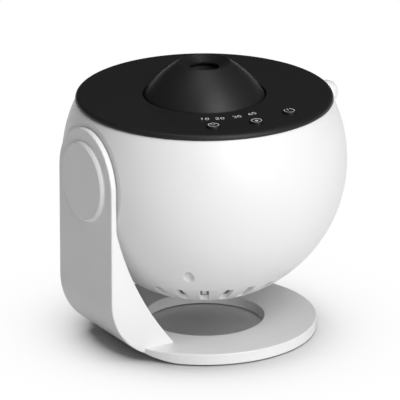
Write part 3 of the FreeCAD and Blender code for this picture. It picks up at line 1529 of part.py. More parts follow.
def make_fan():
    """Fan frame with its three spokes and pin, the rotor, and the fan's screws."""
    half = s.fan_size / 2
    frame = block("fan_block", (-half, half), (-half, half), (fan_under, fin_under))
    places = corners_of(s.fan_screw_spacing, s.fan_screw_spacing)
    holes = [screw_hole("large", "fan_hole", s.fan_depth, x, y, fan_under) for x, y in places]
    duct = cylinder("fan_duct", s.fan_duct_radius, s.fan_depth, z=fan_under)
    frame = cut("fan_frame_ring", frame, holes + [duct])
    base = cylinder("fan_base", s.fan_hub_radius, s.fan_base_thickness, z=fan_under)
    reach = (half + s.fan_hub_radius) / 2
    spokes = [radial_block("fan_spoke", reach, half - s.fan_hub_radius + s.fan_base_thickness,
                           s.fan_base_thickness, (fan_under, fan_under + s.fan_base_thickness),
                           formula(90 + 120 * third)) for third in range(3)]
    spokes = [common("fan_spoke_in_frame", [spoke, block("fan_limit", (-half, half),
              (-half, half), (fan_under, fin_under))]) for spoke in spokes]
    pin = cylinder("fan_pin", s.fan_pin_radius, s.fan_depth * 0.6, z=fan_under)
    piece("fan_frame", fuse("fan_frame", [frame, base, pin] + spokes))

    rotor_under = fan_under + s.fan_base_thickness + s.side_clearance * 3
    rotor_top = fin_under - s.side_clearance * 6
    body = doc.addObject("PartDesign::Body", "rotor_body")
    hub = s.fan_hub_radius
    bore = s.fan_pin_radius + s.running_gap
    drawn = sketch(body, "XZ_Plane", "rotor_profile")
    outline(drawn, [(bore, rotor_under), (hub, rotor_under), (hub, rotor_top), (0, rotor_top),
                    (0, rotor_top - s.fan_base_thickness), (bore, rotor_top - s.fan_base_thickness)])
    revolved = body.newObject("PartDesign::Revolution", "rotor_hub")
    revolved.Profile = drawn
    revolved.ReferenceAxis = (drawn, ["V_Axis"])
    revolved.Angle = 360
    thick, sweep = s.fan_blade_thickness, s.fan_blade_sweep
    low, high = rotor_under + s.side_clearance * 4, rotor_top - s.side_clearance * 4
    section = [(-sweep, low), (-sweep + thick, low), (sweep, high), (sweep - thick, high)]
    start = hub - thick
    blade = padded(body, "YZ_Plane", "rotor_blade", section, s.fan_tip_radius - start, rise=start)
    patterned(body, blade, "rotor_blades", s.fan_blade_count)
    round_tip = ring("rotor_tip_trim", s.fan_tip_radius * 2, s.fan_tip_radius, s.fan_depth,
                     z=fan_under)
    piece("fan_rotor", cut("fan_rotor", body, [round_tip]))

    length = s.fan_depth + s.fin_height / 3
    screws = [screw("fan_screw", "large", length, x, y, fan_under) for x, y in places]
    piece("fan_screws", group("fan_screws", screws))


# ----------------------------------------------------------------------------------------------
# Main circuit board
# ----------------------------------------------------------------------------------------------

def make_main_board():
    """The board behind the lamp, the parts soldered to it and its screws."""
    half = s.main_board_length / 2
    near = main_board_middle - s.main_board_width / 2
    far = main_board_middle + s.main_board_width / 2
    under = main_board_top - s.main_board_thickness
    board = block("board_plate", (-half, half), (near, far), (under, main_board_top))
    holes = [screw_hole("small", "board_hole", s.main_board_thickness, x, y, under)
             for x, y in main_board_places()]
    piece("main_board", cut("main_board", board, holes))

    middle = main_board_middle
    chip = s.main_board_width / 6
    chips = [block("board_chip", (x - chip, x + chip), (middle - chip, middle + chip),
                   (under - chip / 3, under)) for x in (-chip * 3, chip * 0)]
    cans = [cylinder("board_capacitor", chip * 0.8, chip * 2, x, middle, under - chip * 2)
            for x in (chip * 3, chip * 5)]
    socket = block("board_socket", (-half + chip * 3, -half + chip * 5), (near, near + chip),
                   (under - chip, under))
    piece("board_parts", group("board_parts", chips + cans + [socket]))

    length = s.main_board_thickness + s.main_board_drop * 0.9
    screws = [screw("board_screw", "small", length, x, y, under) for x, y in main_board_places()]
    piece("board_screws", group("board_screws", screws))


# ----------------------------------------------------------------------------------------------
# Build, check, write
# ----------------------------------------------------------------------------------------------

def main():
    """Build every sub-part, check the document and write one STEP file for each."""
    for make in (make_stand_frame, make_base, make_pivot, make_bowl, make_vent_baffle,
                 make_power_jack, make_top_plate, make_buttons, make_control_board,
                 make_focus_cone, make_lens, make_chassis, make_tray, make_disc_drive, make_lamp,
                 make_heat_sink, make_fan, make_main_board):
        make()
    doc.recompute()
    faults = [thing.Label for thing in doc.Objects
              if "Invalid" in thing.State or "Error" in thing.State]
    faults += [made.Label for made in pieces if made.Shape.isNull() or not made.Shape.isValid()]
    if faults:
        raise RuntimeError("these objects failed: " + ", ".join(sorted(set(faults))))
    os.makedirs("parts", exist_ok=True)
    for made in pieces:
        made.Shape.exportStep(f"parts/{made.Label}.step")
        print(f"{made.Label}: {len(made.Shape.Solids)} solids, {made.Shape.Volume:.1f} mm3")
    print(f"{len(pieces)} sub-parts")


main()
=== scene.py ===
"""Looks for the tabletop planetarium projector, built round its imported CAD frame.

Sizes are in millimetres until a mesh is made, and metres from there on. +Z is up and the origin
lies on the table at the centre of the base ring. The arm stands at -X, the buttons face -Y, the
power inlet faces +Y and the film tray pulls out along +X.
"""
import json
import logging
import math
from collections.abc import Callable
from dataclasses import dataclass
from enum import Enum
from functools import cached_property

import bmesh
import bpy
import numpy as np
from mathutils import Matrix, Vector

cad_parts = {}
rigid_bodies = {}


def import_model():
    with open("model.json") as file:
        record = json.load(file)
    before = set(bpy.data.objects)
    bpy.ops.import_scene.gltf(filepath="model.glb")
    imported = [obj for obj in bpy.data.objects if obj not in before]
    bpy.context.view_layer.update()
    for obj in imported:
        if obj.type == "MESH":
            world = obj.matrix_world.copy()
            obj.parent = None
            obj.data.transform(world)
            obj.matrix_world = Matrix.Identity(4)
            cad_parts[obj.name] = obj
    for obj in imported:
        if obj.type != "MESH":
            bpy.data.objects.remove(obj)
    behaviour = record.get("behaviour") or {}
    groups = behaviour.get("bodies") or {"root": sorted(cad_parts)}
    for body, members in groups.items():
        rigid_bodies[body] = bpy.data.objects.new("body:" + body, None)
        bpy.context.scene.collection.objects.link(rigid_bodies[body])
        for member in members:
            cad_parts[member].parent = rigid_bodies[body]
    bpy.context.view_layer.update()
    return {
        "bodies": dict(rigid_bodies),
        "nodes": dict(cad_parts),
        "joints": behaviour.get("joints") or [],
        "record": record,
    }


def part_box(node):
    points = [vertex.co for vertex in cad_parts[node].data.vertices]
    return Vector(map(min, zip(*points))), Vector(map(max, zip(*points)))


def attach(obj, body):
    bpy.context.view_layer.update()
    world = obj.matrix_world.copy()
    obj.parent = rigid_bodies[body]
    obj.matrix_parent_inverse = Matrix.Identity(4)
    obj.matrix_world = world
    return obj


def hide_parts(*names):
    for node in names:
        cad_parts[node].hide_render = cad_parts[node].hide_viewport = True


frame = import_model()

MM = 0.001
Colour = tuple[float, float, float]
Pair = tuple[float, float]
Block = tuple[int, int]
log = logging.getLogger("projector")


# ----------------------------------------------------------------------------------------------
# Sizes read from the frame
# ----------------------------------------------------------------------------------------------

def span(node: str, axis: int) -> Pair:
    """Lowest and highest place of a CAD node along one axis, in millimetres."""
    low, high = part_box(node)
    return low[axis] / MM, high[axis] / MM


def half_span(node: str, axis: int) -> float:
    """Half of a CAD node's extent along one axis, in millimetres."""
    low, high = span(node, axis)
    return (high - low) / 2


def middle_of(node: str, axis: int) -> float:
    """Middle of a CAD node's extent along one axis, in millimetres."""
    return sum(span(node, axis)) / 2


def joint_height(name: str) -> float:
    """Height of a joint's axis, in millimetres."""
    return next(joint["pos_m"][2] for joint in frame["joints"] if joint["name"] == name) / MM


PIVOT_HEIGHT = joint_height("head_tilt")
BOWL_RADIUS = half_span("bowl_shell", 1)
PLATE_UNDER = span("bowl_shell", 2)[1]
PLATE_TOP = span("top_plate", 2)[1]


# ----------------------------------------------------------------------------------------------
# Surfaces: grids of points worked out as whole arrays
# ----------------------------------------------------------------------------------------------

def unit(vectors: np.ndarray) -> np.ndarray:
    """The same directions at a length of 1, along the last axis."""
    return vectors / np.linalg.norm(vectors, axis=-1, keepdims=True)


def bearings(angle: np.ndarray | float) -> np.ndarray:
    """Directions at angles in radians: the cosine and the sine, along a new last axis."""
    return np.stack([np.cos(angle), np.sin(angle)], axis=-1)


def lengths(line: np.ndarray) -> np.ndarray:
    """How far along a line each of its points lies: the running sum of its pieces' lengths."""
    return np.concatenate([[0], np.cumsum(np.linalg.norm(np.diff(line, axis=0), axis=1))])


def rounded(corners: np.ndarray, radii: np.ndarray, steps: int = 6) -> np.ndarray:
    """A line through corners, with each corner replaced by an arc.

    The arc touches both sides at radius / tan(half the corner's angle) from the corner, and its
    centre lies radius / sin(half the angle) out along the corner's bisector. Points between its
    two ends are the spherical mean of the two radii. A radius of 0 keeps the corner sharp.

    Args:
        corners: Places of the corners, one a row, in two dimensions.
        radii: Radius at each corner; the two ends of the line have none.
        steps: Number of pieces in each arc.

    Returns:
        The points of the line, one a row.
    """
    before, middle, after = corners[:-2], corners[1:-1], corners[2:]
    back, on = unit(before - middle), unit(after - middle)
    half = np.arccos(np.clip((back * on).sum(1), -1, 1)) / 2
    radius = radii[1:-1]
    centre = middle + unit(back + on) * (radius / np.sin(half))[:, None]
    touch = (radius / np.tan(half))[:, None]
    start, end = middle + back * touch - centre, middle + on * touch - centre
    swing = (math.pi - 2 * half)[:, None, None]
    share = np.linspace(0, 1, steps + 1)[None, :, None]
    arcs = centre[:, None] + (np.sin((1 - share) * swing) * start[:, None]
                              + np.sin(share * swing) * end[:, None]) / np.sin(swing)
    return np.concatenate([corners[:1], arcs.reshape(-1, 2), corners[-1:]])


def arc(radius: float, start: float, end: float, centre: Pair = (0, 0),
        steps: int = 24) -> np.ndarray:
    """Points on part of a circle, from one angle to another in degrees."""
    return np.array(centre) + radius * bearings(np.radians(np.linspace(start, end, steps + 1)))


def bowed(start: Pair, end: Pair, radius: float, steps: int) -> np.ndarray:
    """An arc of a given radius from one point to another, with its centre left of the way.

    The centre lies on the middle normal of the chord, as far off as the other short side of the
    triangle that the radius and half the chord make.

    Args:
        start: Where the arc starts.
        end: Where it ends.
        radius: Its radius.
        steps: Number of pieces in it.

    Returns:
        The points of the arc, one a row.
    """
    start, end = np.array(start), np.array(end)
    chord = end - start
    off = math.sqrt(radius ** 2 - (chord ** 2).sum() / 4)
    centre = (start + end) / 2 + unit(np.array([-chord[1], chord[0]])) * off
    first, last = (math.atan2(*(point - centre)[::-1]) % math.tau for point in (start, end))
    return centre + radius * bearings(np.linspace(first, last, steps + 1))


def along(line: np.ndarray, share: np.ndarray) -> np.ndarray:
    """Points at given shares of a line's length, on the straights between its points.

    Args:
        line: Points of the line, one a row, in two dimensions.
        share: Shares of the length, from 0 to 1, in an array of any shape.

    Returns:
        The points, in the shares' shape with one axis more.
    """
    length = lengths(line)
    place = share * length[-1]
    return np.stack([np.interp(place, length, line[:, axis]) for axis in (0, 1)], axis=-1)


def turned(profile: np.ndarray, columns: int, centre: Pair = (0, 0)) -> np.ndarray:
    """A profile of radius and height carried once round the vertical through a centre.

    A point is centre + radius * (cos a, sin a) at its height, with a going once round.

    Args:
        profile: Radius and height, one a row.
        columns: Number of places round the axis.
        centre: Where the axis stands, in x and y.

    Returns:
        Grid of points: profile along the rows, angle along the columns.
    """
    angle = np.arange(columns) * 2 * math.pi / columns
    radius, height = profile[:, :1], profile[:, 1:]
    return np.stack([centre[0] + radius * np.cos(angle), centre[1] + radius * np.sin(angle),
                     np.broadcast_to(height, (len(profile), columns))], axis=-1)


def ribbon(path: np.ndarray, width: float, low: float, high: float) -> np.ndarray:
    """A flat strip of even width laid along a path in the XY plane.

    The strip's edges are the path moved half the width to each side, square to its own slope.

    Args:
        path: Points of the middle line, in x and y.
        width: Width of the strip.
        low: Height of its underside.
        high: Height of its upper side.

    Returns:
        Closed grid of points: path along the rows, once round the section along the columns.
    """
    slope = unit(np.gradient(path, axis=0))
    aside = np.stack([-slope[:, 1], slope[:, 0]], axis=1) * width / 2
    left, right = path + aside, path - aside
    corners = [(left, low), (right, low), (right, high), (left, high)]
    loop = np.stack([np.column_stack([xy, np.full(len(path), z)]) for xy, z in corners], axis=1)
    middle = loop.mean(axis=1, keepdims=True)
    start, end = np.repeat(middle[:1], 4, axis=1), np.repeat(middle[-1:], 4, axis=1)
    return np.concatenate([start, loop, end])


def placed(name: str, data: bpy.types.ID) -> bpy.types.Object:
    """Makes an object at the origin and links it into the scene.

    Args:
        name: The object's name.
        data: What it shows: a mesh, a lamp or a camera.

    Returns:
        The object.
    """
    made = bpy.data.objects.new(name, data)
    bpy.context.scene.collection.objects.link(made)
    return made


class Skin:
    """Gathers grids of points into one mesh piece."""

    same_place = 0.002               # points this near each other are one
    no_length = 0.001                # an edge this short is none

    def __init__(self) -> None:
        """Starts with no points and no faces."""
        self.points: list[np.ndarray] = []
        self.faces: list[np.ndarray] = []
        self.count = 0

    def add(self, grid: np.ndarray, closed: bool = False, keep: np.ndarray | None = None) -> None:
        """Adds a grid of points and the faces between them.

        Args:
            grid: Points, with the last axis x, y, z in millimetres.
            closed: Whether the last column joins the first.
            keep: Which faces to make; all of them if left out.
        """
        rows, columns = grid.shape[:2]
        index = np.arange(rows * columns).reshape(rows, columns) + self.count
        if closed:
            index = np.concatenate([index, index[:, :1]], axis=1)
        quads = np.stack([index[:-1, :-1], index[:-1, 1:], index[1:, 1:], index[1:, :-1]], axis=-1)
        self.faces.append(quads[keep] if keep is not None else quads.reshape(-1, 4))
        self.points.append(grid.reshape(-1, 3))
        self.count += rows * columns

    def mesh(self, name: str) -> bpy.types.Mesh:
        """Makes a mesh of all that was added, in metres.

        Args:
            name: The mesh's name.

        Returns:
            The mesh.
        """
        mesh = bpy.data.meshes.new(name)
        mesh.from_pydata(np.concatenate(self.points) * MM, [], np.concatenate(self.faces).tolist())
        return mesh

    def piece(self, name: str, body: str, finish: bpy.types.Material, sharp: float = 35.0
              ) -> bpy.types.Object:
        """Makes the object: seams and poles merged, faces turned outwards, shaded smooth.

        Args:
            name: The object's name.
            body: The CAD body it moves with.
            finish: Its material.
            sharp: Edges that turn by more than this many degrees stay crisp.

        Returns:
            The new object.
        """
        mesh = self.mesh(name)
        made = bmesh.new()
        made.from_mesh(mesh)
        bmesh.ops.remove_doubles(made, verts=made.verts, dist=self.same_place * MM)
        bmesh.ops.dissolve_degenerate(made, edges=made.edges, dist=self.no_length * MM)
        bmesh.ops.recalc_face_normals(made, faces=made.faces)
        made.to_mesh(mesh)
        made.free()
        mesh.shade_smooth()
        mesh.set_sharp_from_angle(angle=math.radians(sharp))
        mesh.materials.append(finish)
        made_object = placed(name, mesh)
        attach(made_object, body)
        return made_object


# ----------------------------------------------------------------------------------------------
# Finishes: each one is a procedural material on the object's own coordinates
# ----------------------------------------------------------------------------------------------

def opaque(colour: Colour | bpy.types.NodeSocket) -> object:
    """A colour with its fourth channel, or a socket as it is."""
    return (*colour, 1) if isinstance(colour, tuple) else colour


def scaled(colour: Colour, by: float) -> Colour:
    """A colour with each channel made stronger or weaker."""
    return tuple(part * by for part in colour)


class Graph:
    """The node tree of a material or a world, with one short call for each node."""

    bevel_samples = 4
    noise_roughness = 0.6            # how strong each finer layer of a noise is

    def __init__(self, owner: bpy.types.ID) -> None:
        """Empties the tree.

        Args:
            owner: The material or the world that the tree belongs to.
        """
        self.owner = owner
        owner.use_nodes = True
        self.tree = owner.node_tree
        self.tree.nodes.clear()

    @cached_property
    def place(self) -> bpy.types.NodeSocket:
        """The object's own coordinates."""
        return self.node("ShaderNodeTexCoord").outputs["Object"]

    def node(self, kind: str, inputs: dict | None = None, **settings: object) -> bpy.types.Node:
        """Makes a node, sets its options, and links or fills its inputs.

        Args:
            kind: Blender's name for the node's type.
            inputs: Socket name or number, with a value or the socket to link from.
            settings: Options of the node.

        Returns:
            The node.
        """
        made = self.tree.nodes.new(kind)
        for option, value in settings.items():
            setattr(made, option, value)
        for socket, value in (inputs or {}).items():
            if isinstance(value, bpy.types.NodeSocket):
                self.tree.links.new(value, made.inputs[socket])
            else:
                made.inputs[socket].default_value = value
        return made

    def noise(self, scale: float, detail: float = 3.0, stretch: Vector | None = None
              ) -> bpy.types.NodeSocket:
        """Cloudy noise between 0 and 1.

        Args:
            scale: Cycles per metre.
            detail: How many finer layers it has.
            stretch: Share of the scale along each axis; even if left out.

        Returns:
            The noise's value.
        """
        place = self.place
        if stretch is not None:
            place = self.node("ShaderNodeMapping", {0: place, "Scale": stretch}).outputs[0]
        return self.node("ShaderNodeTexNoise", {"Vector": place, "Scale": scale, "Detail": detail,
                                                "Roughness": self.noise_roughness}).outputs[0]

    def cells(self, scale: float, **settings: str) -> bpy.types.NodeSocket:
        """Distance from the nearest of many scattered points, with scale in cells per metre."""
        return self.node("ShaderNodeTexVoronoi", {"Vector": self.place, "Scale": scale}, **settings
                         ).outputs["Distance"]

    def between(self, value: bpy.types.NodeSocket, low: float, high: float,
                start: float = 0.3, end: float = 0.7) -> bpy.types.NodeSocket:
        """Spreads a value's middle part, from start to end, over low to high."""
        return self.node("ShaderNodeMapRange", {0: value, 1: start, 2: end, 3: low, 4: high}
                         ).outputs[0]

    def blend(self, share: bpy.types.NodeSocket, first: Colour | bpy.types.NodeSocket,
              second: Colour) -> bpy.types.NodeSocket:
        """A colour between two, by a share from 0 to 1."""
        return self.node("ShaderNodeMix", {0: share, 6: opaque(first), 7: opaque(second)},
                         data_type="RGBA").outputs[2]

    def clouded(self, noise: bpy.types.NodeSocket, first: Colour, second: Colour
                ) -> bpy.types.NodeSocket:
        """A colour that drifts between two with a noise."""
        return self.blend(self.between(noise, 0, 1), first, second)

    def maths(self, operation: str, first: object, second: object = 0.0) -> bpy.types.NodeSocket:
        """One step of arithmetic on two values."""
        return self.node("ShaderNodeMath", {0: first, 1: second}, operation=operation).outputs[0]

    def from_axis(self) -> bpy.types.NodeSocket:
        """Distance from the upright axis, in metres: the root of the sum of two squares.

        Returns:
            The distance.
        """
        parts = self.node("ShaderNodeSeparateXYZ", {0: self.place}).outputs
        squares = (self.maths("MULTIPLY", parts[name], parts[name]) for name in ("X", "Y"))
        return self.maths("SQRT", self.maths("ADD", *squares))

    def softened(self, radius: float) -> bpy.types.NodeSocket:
        """The normal with sharp edges made to look rounded, by a radius in millimetres."""
        return self.node("ShaderNodeBevel", {"Radius": radius * MM}, samples=self.bevel_samples
                         ).outputs[0]

    def relief(self, height: bpy.types.NodeSocket, depth: float,
               under: bpy.types.NodeSocket | None = None) -> bpy.types.NodeSocket:
        """Raises and sinks the surface by a height between 0 and 1.

        Args:
            height: The pattern.
            depth: How many millimetres the pattern's 1 stands above its 0.
            under: Relief that this one lies on.

        Returns:
            The bent normal.
        """
        inputs = {"Height": height, "Distance": depth * MM, "Strength": 1.0}
        if under is not None:
            inputs["Normal"] = under
        return self.node("ShaderNodeBump", inputs).outputs[0]

    def finish(self, colour: object, roughness: object, normal: bpy.types.NodeSocket | None = None,
               **sockets: float) -> bpy.types.Material:
        """Ends the tree in one surface shader.

        Args:
            colour: Base colour, or a socket.
            roughness: Roughness, or a socket.
            normal: The bent normal, if any.
            sockets: Single values for the shader's other inputs, with _ for a space.

        Returns:
            The material.
        """
        inputs = {"Base Color": opaque(colour), "Roughness": roughness}
        if normal is not None:
            inputs["Normal"] = normal
        inputs.update({socket.replace("_", " "): value for socket, value in sockets.items()})
        shader = self.node("ShaderNodeBsdfPrincipled", inputs)
        self.node("ShaderNodeOutputMaterial", {0: shader.outputs[0]})
        return self.owner


@dataclass(frozen=True)
class Finish:
    """What every finish has: its material's name, which is also its slot's.

    In every finish scales are in cycles per metre and heights in millimetres, and a pair of
    roughnesses is the smoothest and the roughest that its noise reaches.
    """

    name: str

    def graph(self) -> Graph:
        """Starts the finish's material."""
        return Graph(bpy.data.materials.new(self.name))

    def material(self) -> bpy.types.Material:
        """Builds the finish."""
        raise NotImplementedError


@dataclass(frozen=True)
class MouldedPlastic(Finish):
    """Injection-moulded plastic: spark-eroded grain, faint flow clouds, uneven gloss."""

    colour: Colour
    roughness: float = 0.4
    clouding: float = 0.03           # how much the colour drifts, as a share of itself
    grain: float = 0.006             # height of the spark texture
    grain_scale: float = 2600.0
    edge: float = 0.25               # apparent rounding of sharp edges, if any
    cloud_scale: float = 22.0
    wear_scale: float = 90.0
    wear: Pair = (-0.05, 0.06)       # how far the roughness drifts, down and up

    def material(self) -> bpy.types.Material:
        """Builds the finish.

        Returns:
            The material.
        """
        graph = self.graph()
        clouds, wear = graph.noise(self.cloud_scale, 4.0), graph.noise(self.wear_scale, 5.0)
        return graph.finish(
            graph.clouded(clouds, scaled(self.colour, 1 - self.clouding), self.colour),
            graph.between(wear, *(self.roughness + drift for drift in self.wear)),
            graph.relief(graph.noise(self.grain_scale, 2.0), self.grain,
                         graph.softened(self.edge) if self.edge > 0 else None),
            Specular_IOR_Level=0.45)


@dataclass(frozen=True)
class TurnedPlastic(Finish):
    """Black moulded plastic with the faint rings that a turned mould leaves on the lid."""

    colour: Colour
    roughness: float
    ring_pitch: float = 4.7          # distance between the rings, in millimetres
    ring_depth: float = 0.012
    ring_start: float = 34.0         # distance from the axis where the rings begin
    ring_fade: float = 1.0           # over which they rise to their full depth
    grain: float = 0.005
    grain_scale: float = 2400.0
    cloud_scale: float = 30.0
    cloud_strength: float = 1.12     # how much paler the clouds are
    wear_scale: float = 120.0
    wear: Pair = (-0.015, 0.02)

    def material(self) -> bpy.types.Material:
        """Builds the finish: rings are a sine of the distance from the upright axis.

        Returns:
            The material.
        """
        graph = self.graph()
        away = graph.from_axis()
        turns = graph.maths("MULTIPLY", away, math.tau / (self.ring_pitch * MM))
        wave = graph.between(graph.maths("SINE", turns), 0, 1, -1, 1)
        begun = graph.between(away, 0, 1, self.ring_start * MM,
                              (self.ring_start + self.ring_fade) * MM)
        wear = graph.noise(self.wear_scale, 5.0)
        return graph.finish(
            graph.clouded(graph.noise(self.cloud_scale, 4.0), self.colour,
                          scaled(self.colour, self.cloud_strength)),
            graph.between(wear, *(self.roughness + drift for drift in self.wear)),
            graph.relief(graph.maths("MULTIPLY", wave, begun), self.ring_depth,
                         graph.relief(graph.noise(self.grain_scale, 2.0), self.grain)),
            Specular_IOR_Level=0.3)


@dataclass(frozen=True)
class WorkedMetal(Finish):
    """Bare or plated metal with drawn or turned tool marks and uneven polish."""

    colour: Colour
    roughness: float
    marks: tuple[float, float, float]   # share of the marks' fineness along each axis
    depth: float = 0.004
    mark_scale: float = 1800.0
    stain_scale: float = 140.0
    stain: float = 0.86              # how bright the stained metal is, as a share of the clean
    polish: Pair = (-0.08, 0.1)      # how far the marks take the roughness, down and up
    edge: float = 0.15

    def material(self) -> bpy.types.Material:
        """Builds the finish: the marks are noise stretched along the direction of working.

        Returns:
            The material.
        """
        graph = self.graph()
        lines = graph.noise(self.mark_scale, 3.0, Vector(self.marks))
        return graph.finish(
            graph.clouded(graph.noise(self.stain_scale, 5.0), scaled(self.colour, self.stain),
                          self.colour),
            graph.between(lines, *(self.roughness + drift for drift in self.polish)),
            graph.relief(lines, self.depth, graph.softened(self.edge)), Metallic=1.0)


@dataclass(frozen=True)
class OpticalGlass(Finish):
    """Polished lens glass with a thin violet and green bloom of its coating."""

    bloom: Colour = (0.93, 0.97, 1.0)
    far_bloom: Colour = (0.97, 0.95, 1.0)
    bloom_scale: float = 60.0
    polish_scale: float = 300.0
    polish: Pair = (0.02, 0.05)

    def material(self) -> bpy.types.Material:
        """Builds the finish: a slow cloud shifts the coating's tint and the polish.

        Returns:
            The material.
        """
        graph = self.graph()
        return graph.finish(
            graph.clouded(graph.noise(self.bloom_scale, 2.0), self.bloom, self.far_bloom),
            graph.between(graph.noise(self.polish_scale), *self.polish),
            Transmission_Weight=0.92, IOR=1.52, Coat_Weight=0.4, Coat_Roughness=0.03,
            Coat_IOR=1.8)


@dataclass(frozen=True)
class CircuitBoard(Finish):
    """Solder mask over copper tracks on glass fibre, with a faint weave."""

    mask: Colour
    track: Colour
    track_scale: float = 260.0
    track_edge: Pair = (0.34, 0.38)  # where in a cell the mask ends and the track begins
    track_height: float = 0.03
    weave_scale: float = 3000.0
    weave_height: float = 0.004
    roughness: Pair = (0.3, 0.42)

    def material(self) -> bpy.types.Material:
        """Builds the finish: tracks are the square cells of a chequered distance pattern.

        Returns:
            The material.
        """
        graph = self.graph()
        tracks = graph.between(graph.cells(self.track_scale, distance="CHEBYCHEV"), 0, 1,
                               *self.track_edge)
        weave = graph.noise(self.weave_scale, 1.0, Vector((1, 0.2, 1)))
        return graph.finish(
            graph.blend(tracks, self.mask, self.track), graph.between(weave, *self.roughness),
            graph.relief(tracks, self.track_height, graph.relief(weave, self.weave_height)),
            Specular_IOR_Level=0.5)


@dataclass(frozen=True)
class StarFilm(Finish):
    """Dark film with clear dots of several sizes scattered over it."""

    ground: Colour = (0.006, 0.008, 0.03)
    haze: Colour = (0.02, 0.02, 0.06)
    haze_scale: float = 160.0
    dots: Colour = (0.85, 0.88, 0.95)
    large: tuple[float, float, float] = (420.0, 0.05, 0.09)    # scale, clear to, dark from
    small: tuple[float, float, float] = (1100.0, 0.06, 0.12)
    roughness: Pair = (0.12, 0.25)

    def material(self) -> bpy.types.Material:
        """Builds the finish: dots are where a cell's centre is near, smaller in most cells.

        Returns:
            The material.
        """
        graph = self.graph()
        near = graph.maths("MAXIMUM", *(graph.between(graph.cells(scale), 1, 0, clear, dark)
                                        for scale, clear, dark in (self.large, self.small)))
        haze = graph.clouded(graph.noise(self.haze_scale, 4.0), self.ground, self.haze)
        return graph.finish(graph.blend(near, haze, self.dots),
                            graph.between(near, *self.roughness, 0, 1),
                            Coat_Weight=0.5, Coat_Roughness=0.05)


@dataclass(frozen=True)
class SoftRubber(Finish):
    """Matt rubber with a fine, dusty grain."""

    colour: Colour = (0.03, 0.03, 0.03)
    dust: Colour = (0.06, 0.06, 0.058)
    dust_scale: float = 240.0
    grain: float = 0.02
    grain_scale: float = 1500.0
    roughness: Pair = (0.75, 0.92)

    def material(self) -> bpy.types.Material:
        """Builds the finish: two grains, the coarse one also paler, as dust is.

        Returns:
            The material.
        """
        graph = self.graph()
        dust = graph.noise(self.dust_scale, 5.0)
        return graph.finish(
            graph.clouded(dust, self.colour, self.dust), graph.between(dust, *self.roughness),
            graph.relief(graph.noise(self.grain_scale), self.grain), Specular_IOR_Level=0.3)


@dataclass(frozen=True)
class ScreenPrint(Finish):
    """White ink laid through a mesh: slightly thin and grainy."""

    ink: Colour = (0.82, 0.82, 0.82)
    thinning: float = 0.82           # how bright the thin spots are, as a share of the ink
    spot_scale: float = 3800.0
    spot_depth: float = 0.002
    roughness: Pair = (0.5, 0.65)

    def material(self) -> bpy.types.Material:
        """Builds the finish: ink thins a little in small spots.

        Returns:
            The material.
        """
        graph = self.graph()
        spots = graph.noise(self.spot_scale, 2.0)
        return graph.finish(
            graph.clouded(spots, scaled(self.ink, self.thinning), self.ink),
            graph.between(spots, *self.roughness), graph.relief(spots, self.spot_depth))


@dataclass(frozen=True)
class Phosphor(Finish):
    """Yellow phosphor under clear silicone."""

    colour: Colour = (0.85, 0.62, 0.08)
    pale: Colour = (0.95, 0.8, 0.3)
    grain_scale: float = 5000.0
    roughness: Pair = (0.25, 0.4)

    def material(self) -> bpy.types.Material:
        """Builds the finish: fine grains under a clear coat.

        Returns:
            The material.
        """
        graph = self.graph()
        grains = graph.noise(self.grain_scale, 2.0)
        return graph.finish(
            graph.clouded(grains, self.colour, self.pale), graph.between(grains, *self.roughness),
            Coat_Weight=1.0, Coat_Roughness=0.04)


EVEN = (1.0, 1.0, 1.0)
LENGTHWAYS = (0.05, 1.0, 1.0)
UPRIGHT = (1.0, 1.0, 0.04)
FINISHES = {finish.name: finish for finish in (
    MouldedPlastic("white_casing", (0.80, 0.80, 0.80), 0.36, 0.012, 0.002, edge=0),
    TurnedPlastic("black_plate", (0.0125, 0.0125, 0.0133), 0.46),
    MouldedPlastic("button_black", (0.011, 0.011, 0.012), 0.42, 0.05, 0.004),
    MouldedPlastic("inner_black", (0.02, 0.02, 0.021), 0.62, 0.08, 0.012, 1500.0),
    MouldedPlastic("inner_white", (0.78, 0.78, 0.77), 0.55, 0.03, 0.008, 1500.0),
    MouldedPlastic("base_grey", (0.6, 0.6, 0.59), 0.58, 0.04, 0.012, 1500.0),
    MouldedPlastic("gear_nylon", (0.74, 0.71, 0.62), 0.45, 0.06, 0.004, 900.0),
    MouldedPlastic("bush_acetal", (0.78, 0.77, 0.72), 0.35, 0.04, 0.003, 900.0),
    MouldedPlastic("washer_fibre", (0.1, 0.07, 0.05), 0.8, 0.3, 0.03, 1200.0),
    MouldedPlastic("parts_black", (0.018, 0.018, 0.018), 0.5, 0.1, 0.01, 1800.0),
    WorkedMetal("plated_steel", (0.6, 0.6, 0.58), 0.3, EVEN),
    WorkedMetal("weight_steel", (0.32, 0.32, 0.33), 0.42, LENGTHWAYS),
    WorkedMetal("motor_steel", (0.5, 0.5, 0.5), 0.28, UPRIGHT),
    WorkedMetal("sink_aluminium", (0.78, 0.78, 0.79), 0.38, UPRIGHT, 0.01),
    OpticalGlass("lens_glass"),
    StarFilm("film_print"),
    SoftRubber("foot_rubber"),
    CircuitBoard("board_green", (0.008, 0.1, 0.035), (0.02, 0.17, 0.06)),
    CircuitBoard("board_white", (0.75, 0.75, 0.73), (0.68, 0.66, 0.6)),
    Phosphor("emitter_yellow"),
    ScreenPrint("print_white"),
)}


# ----------------------------------------------------------------------------------------------
# Lid: focusing cone, buttons and printed marks
# ----------------------------------------------------------------------------------------------

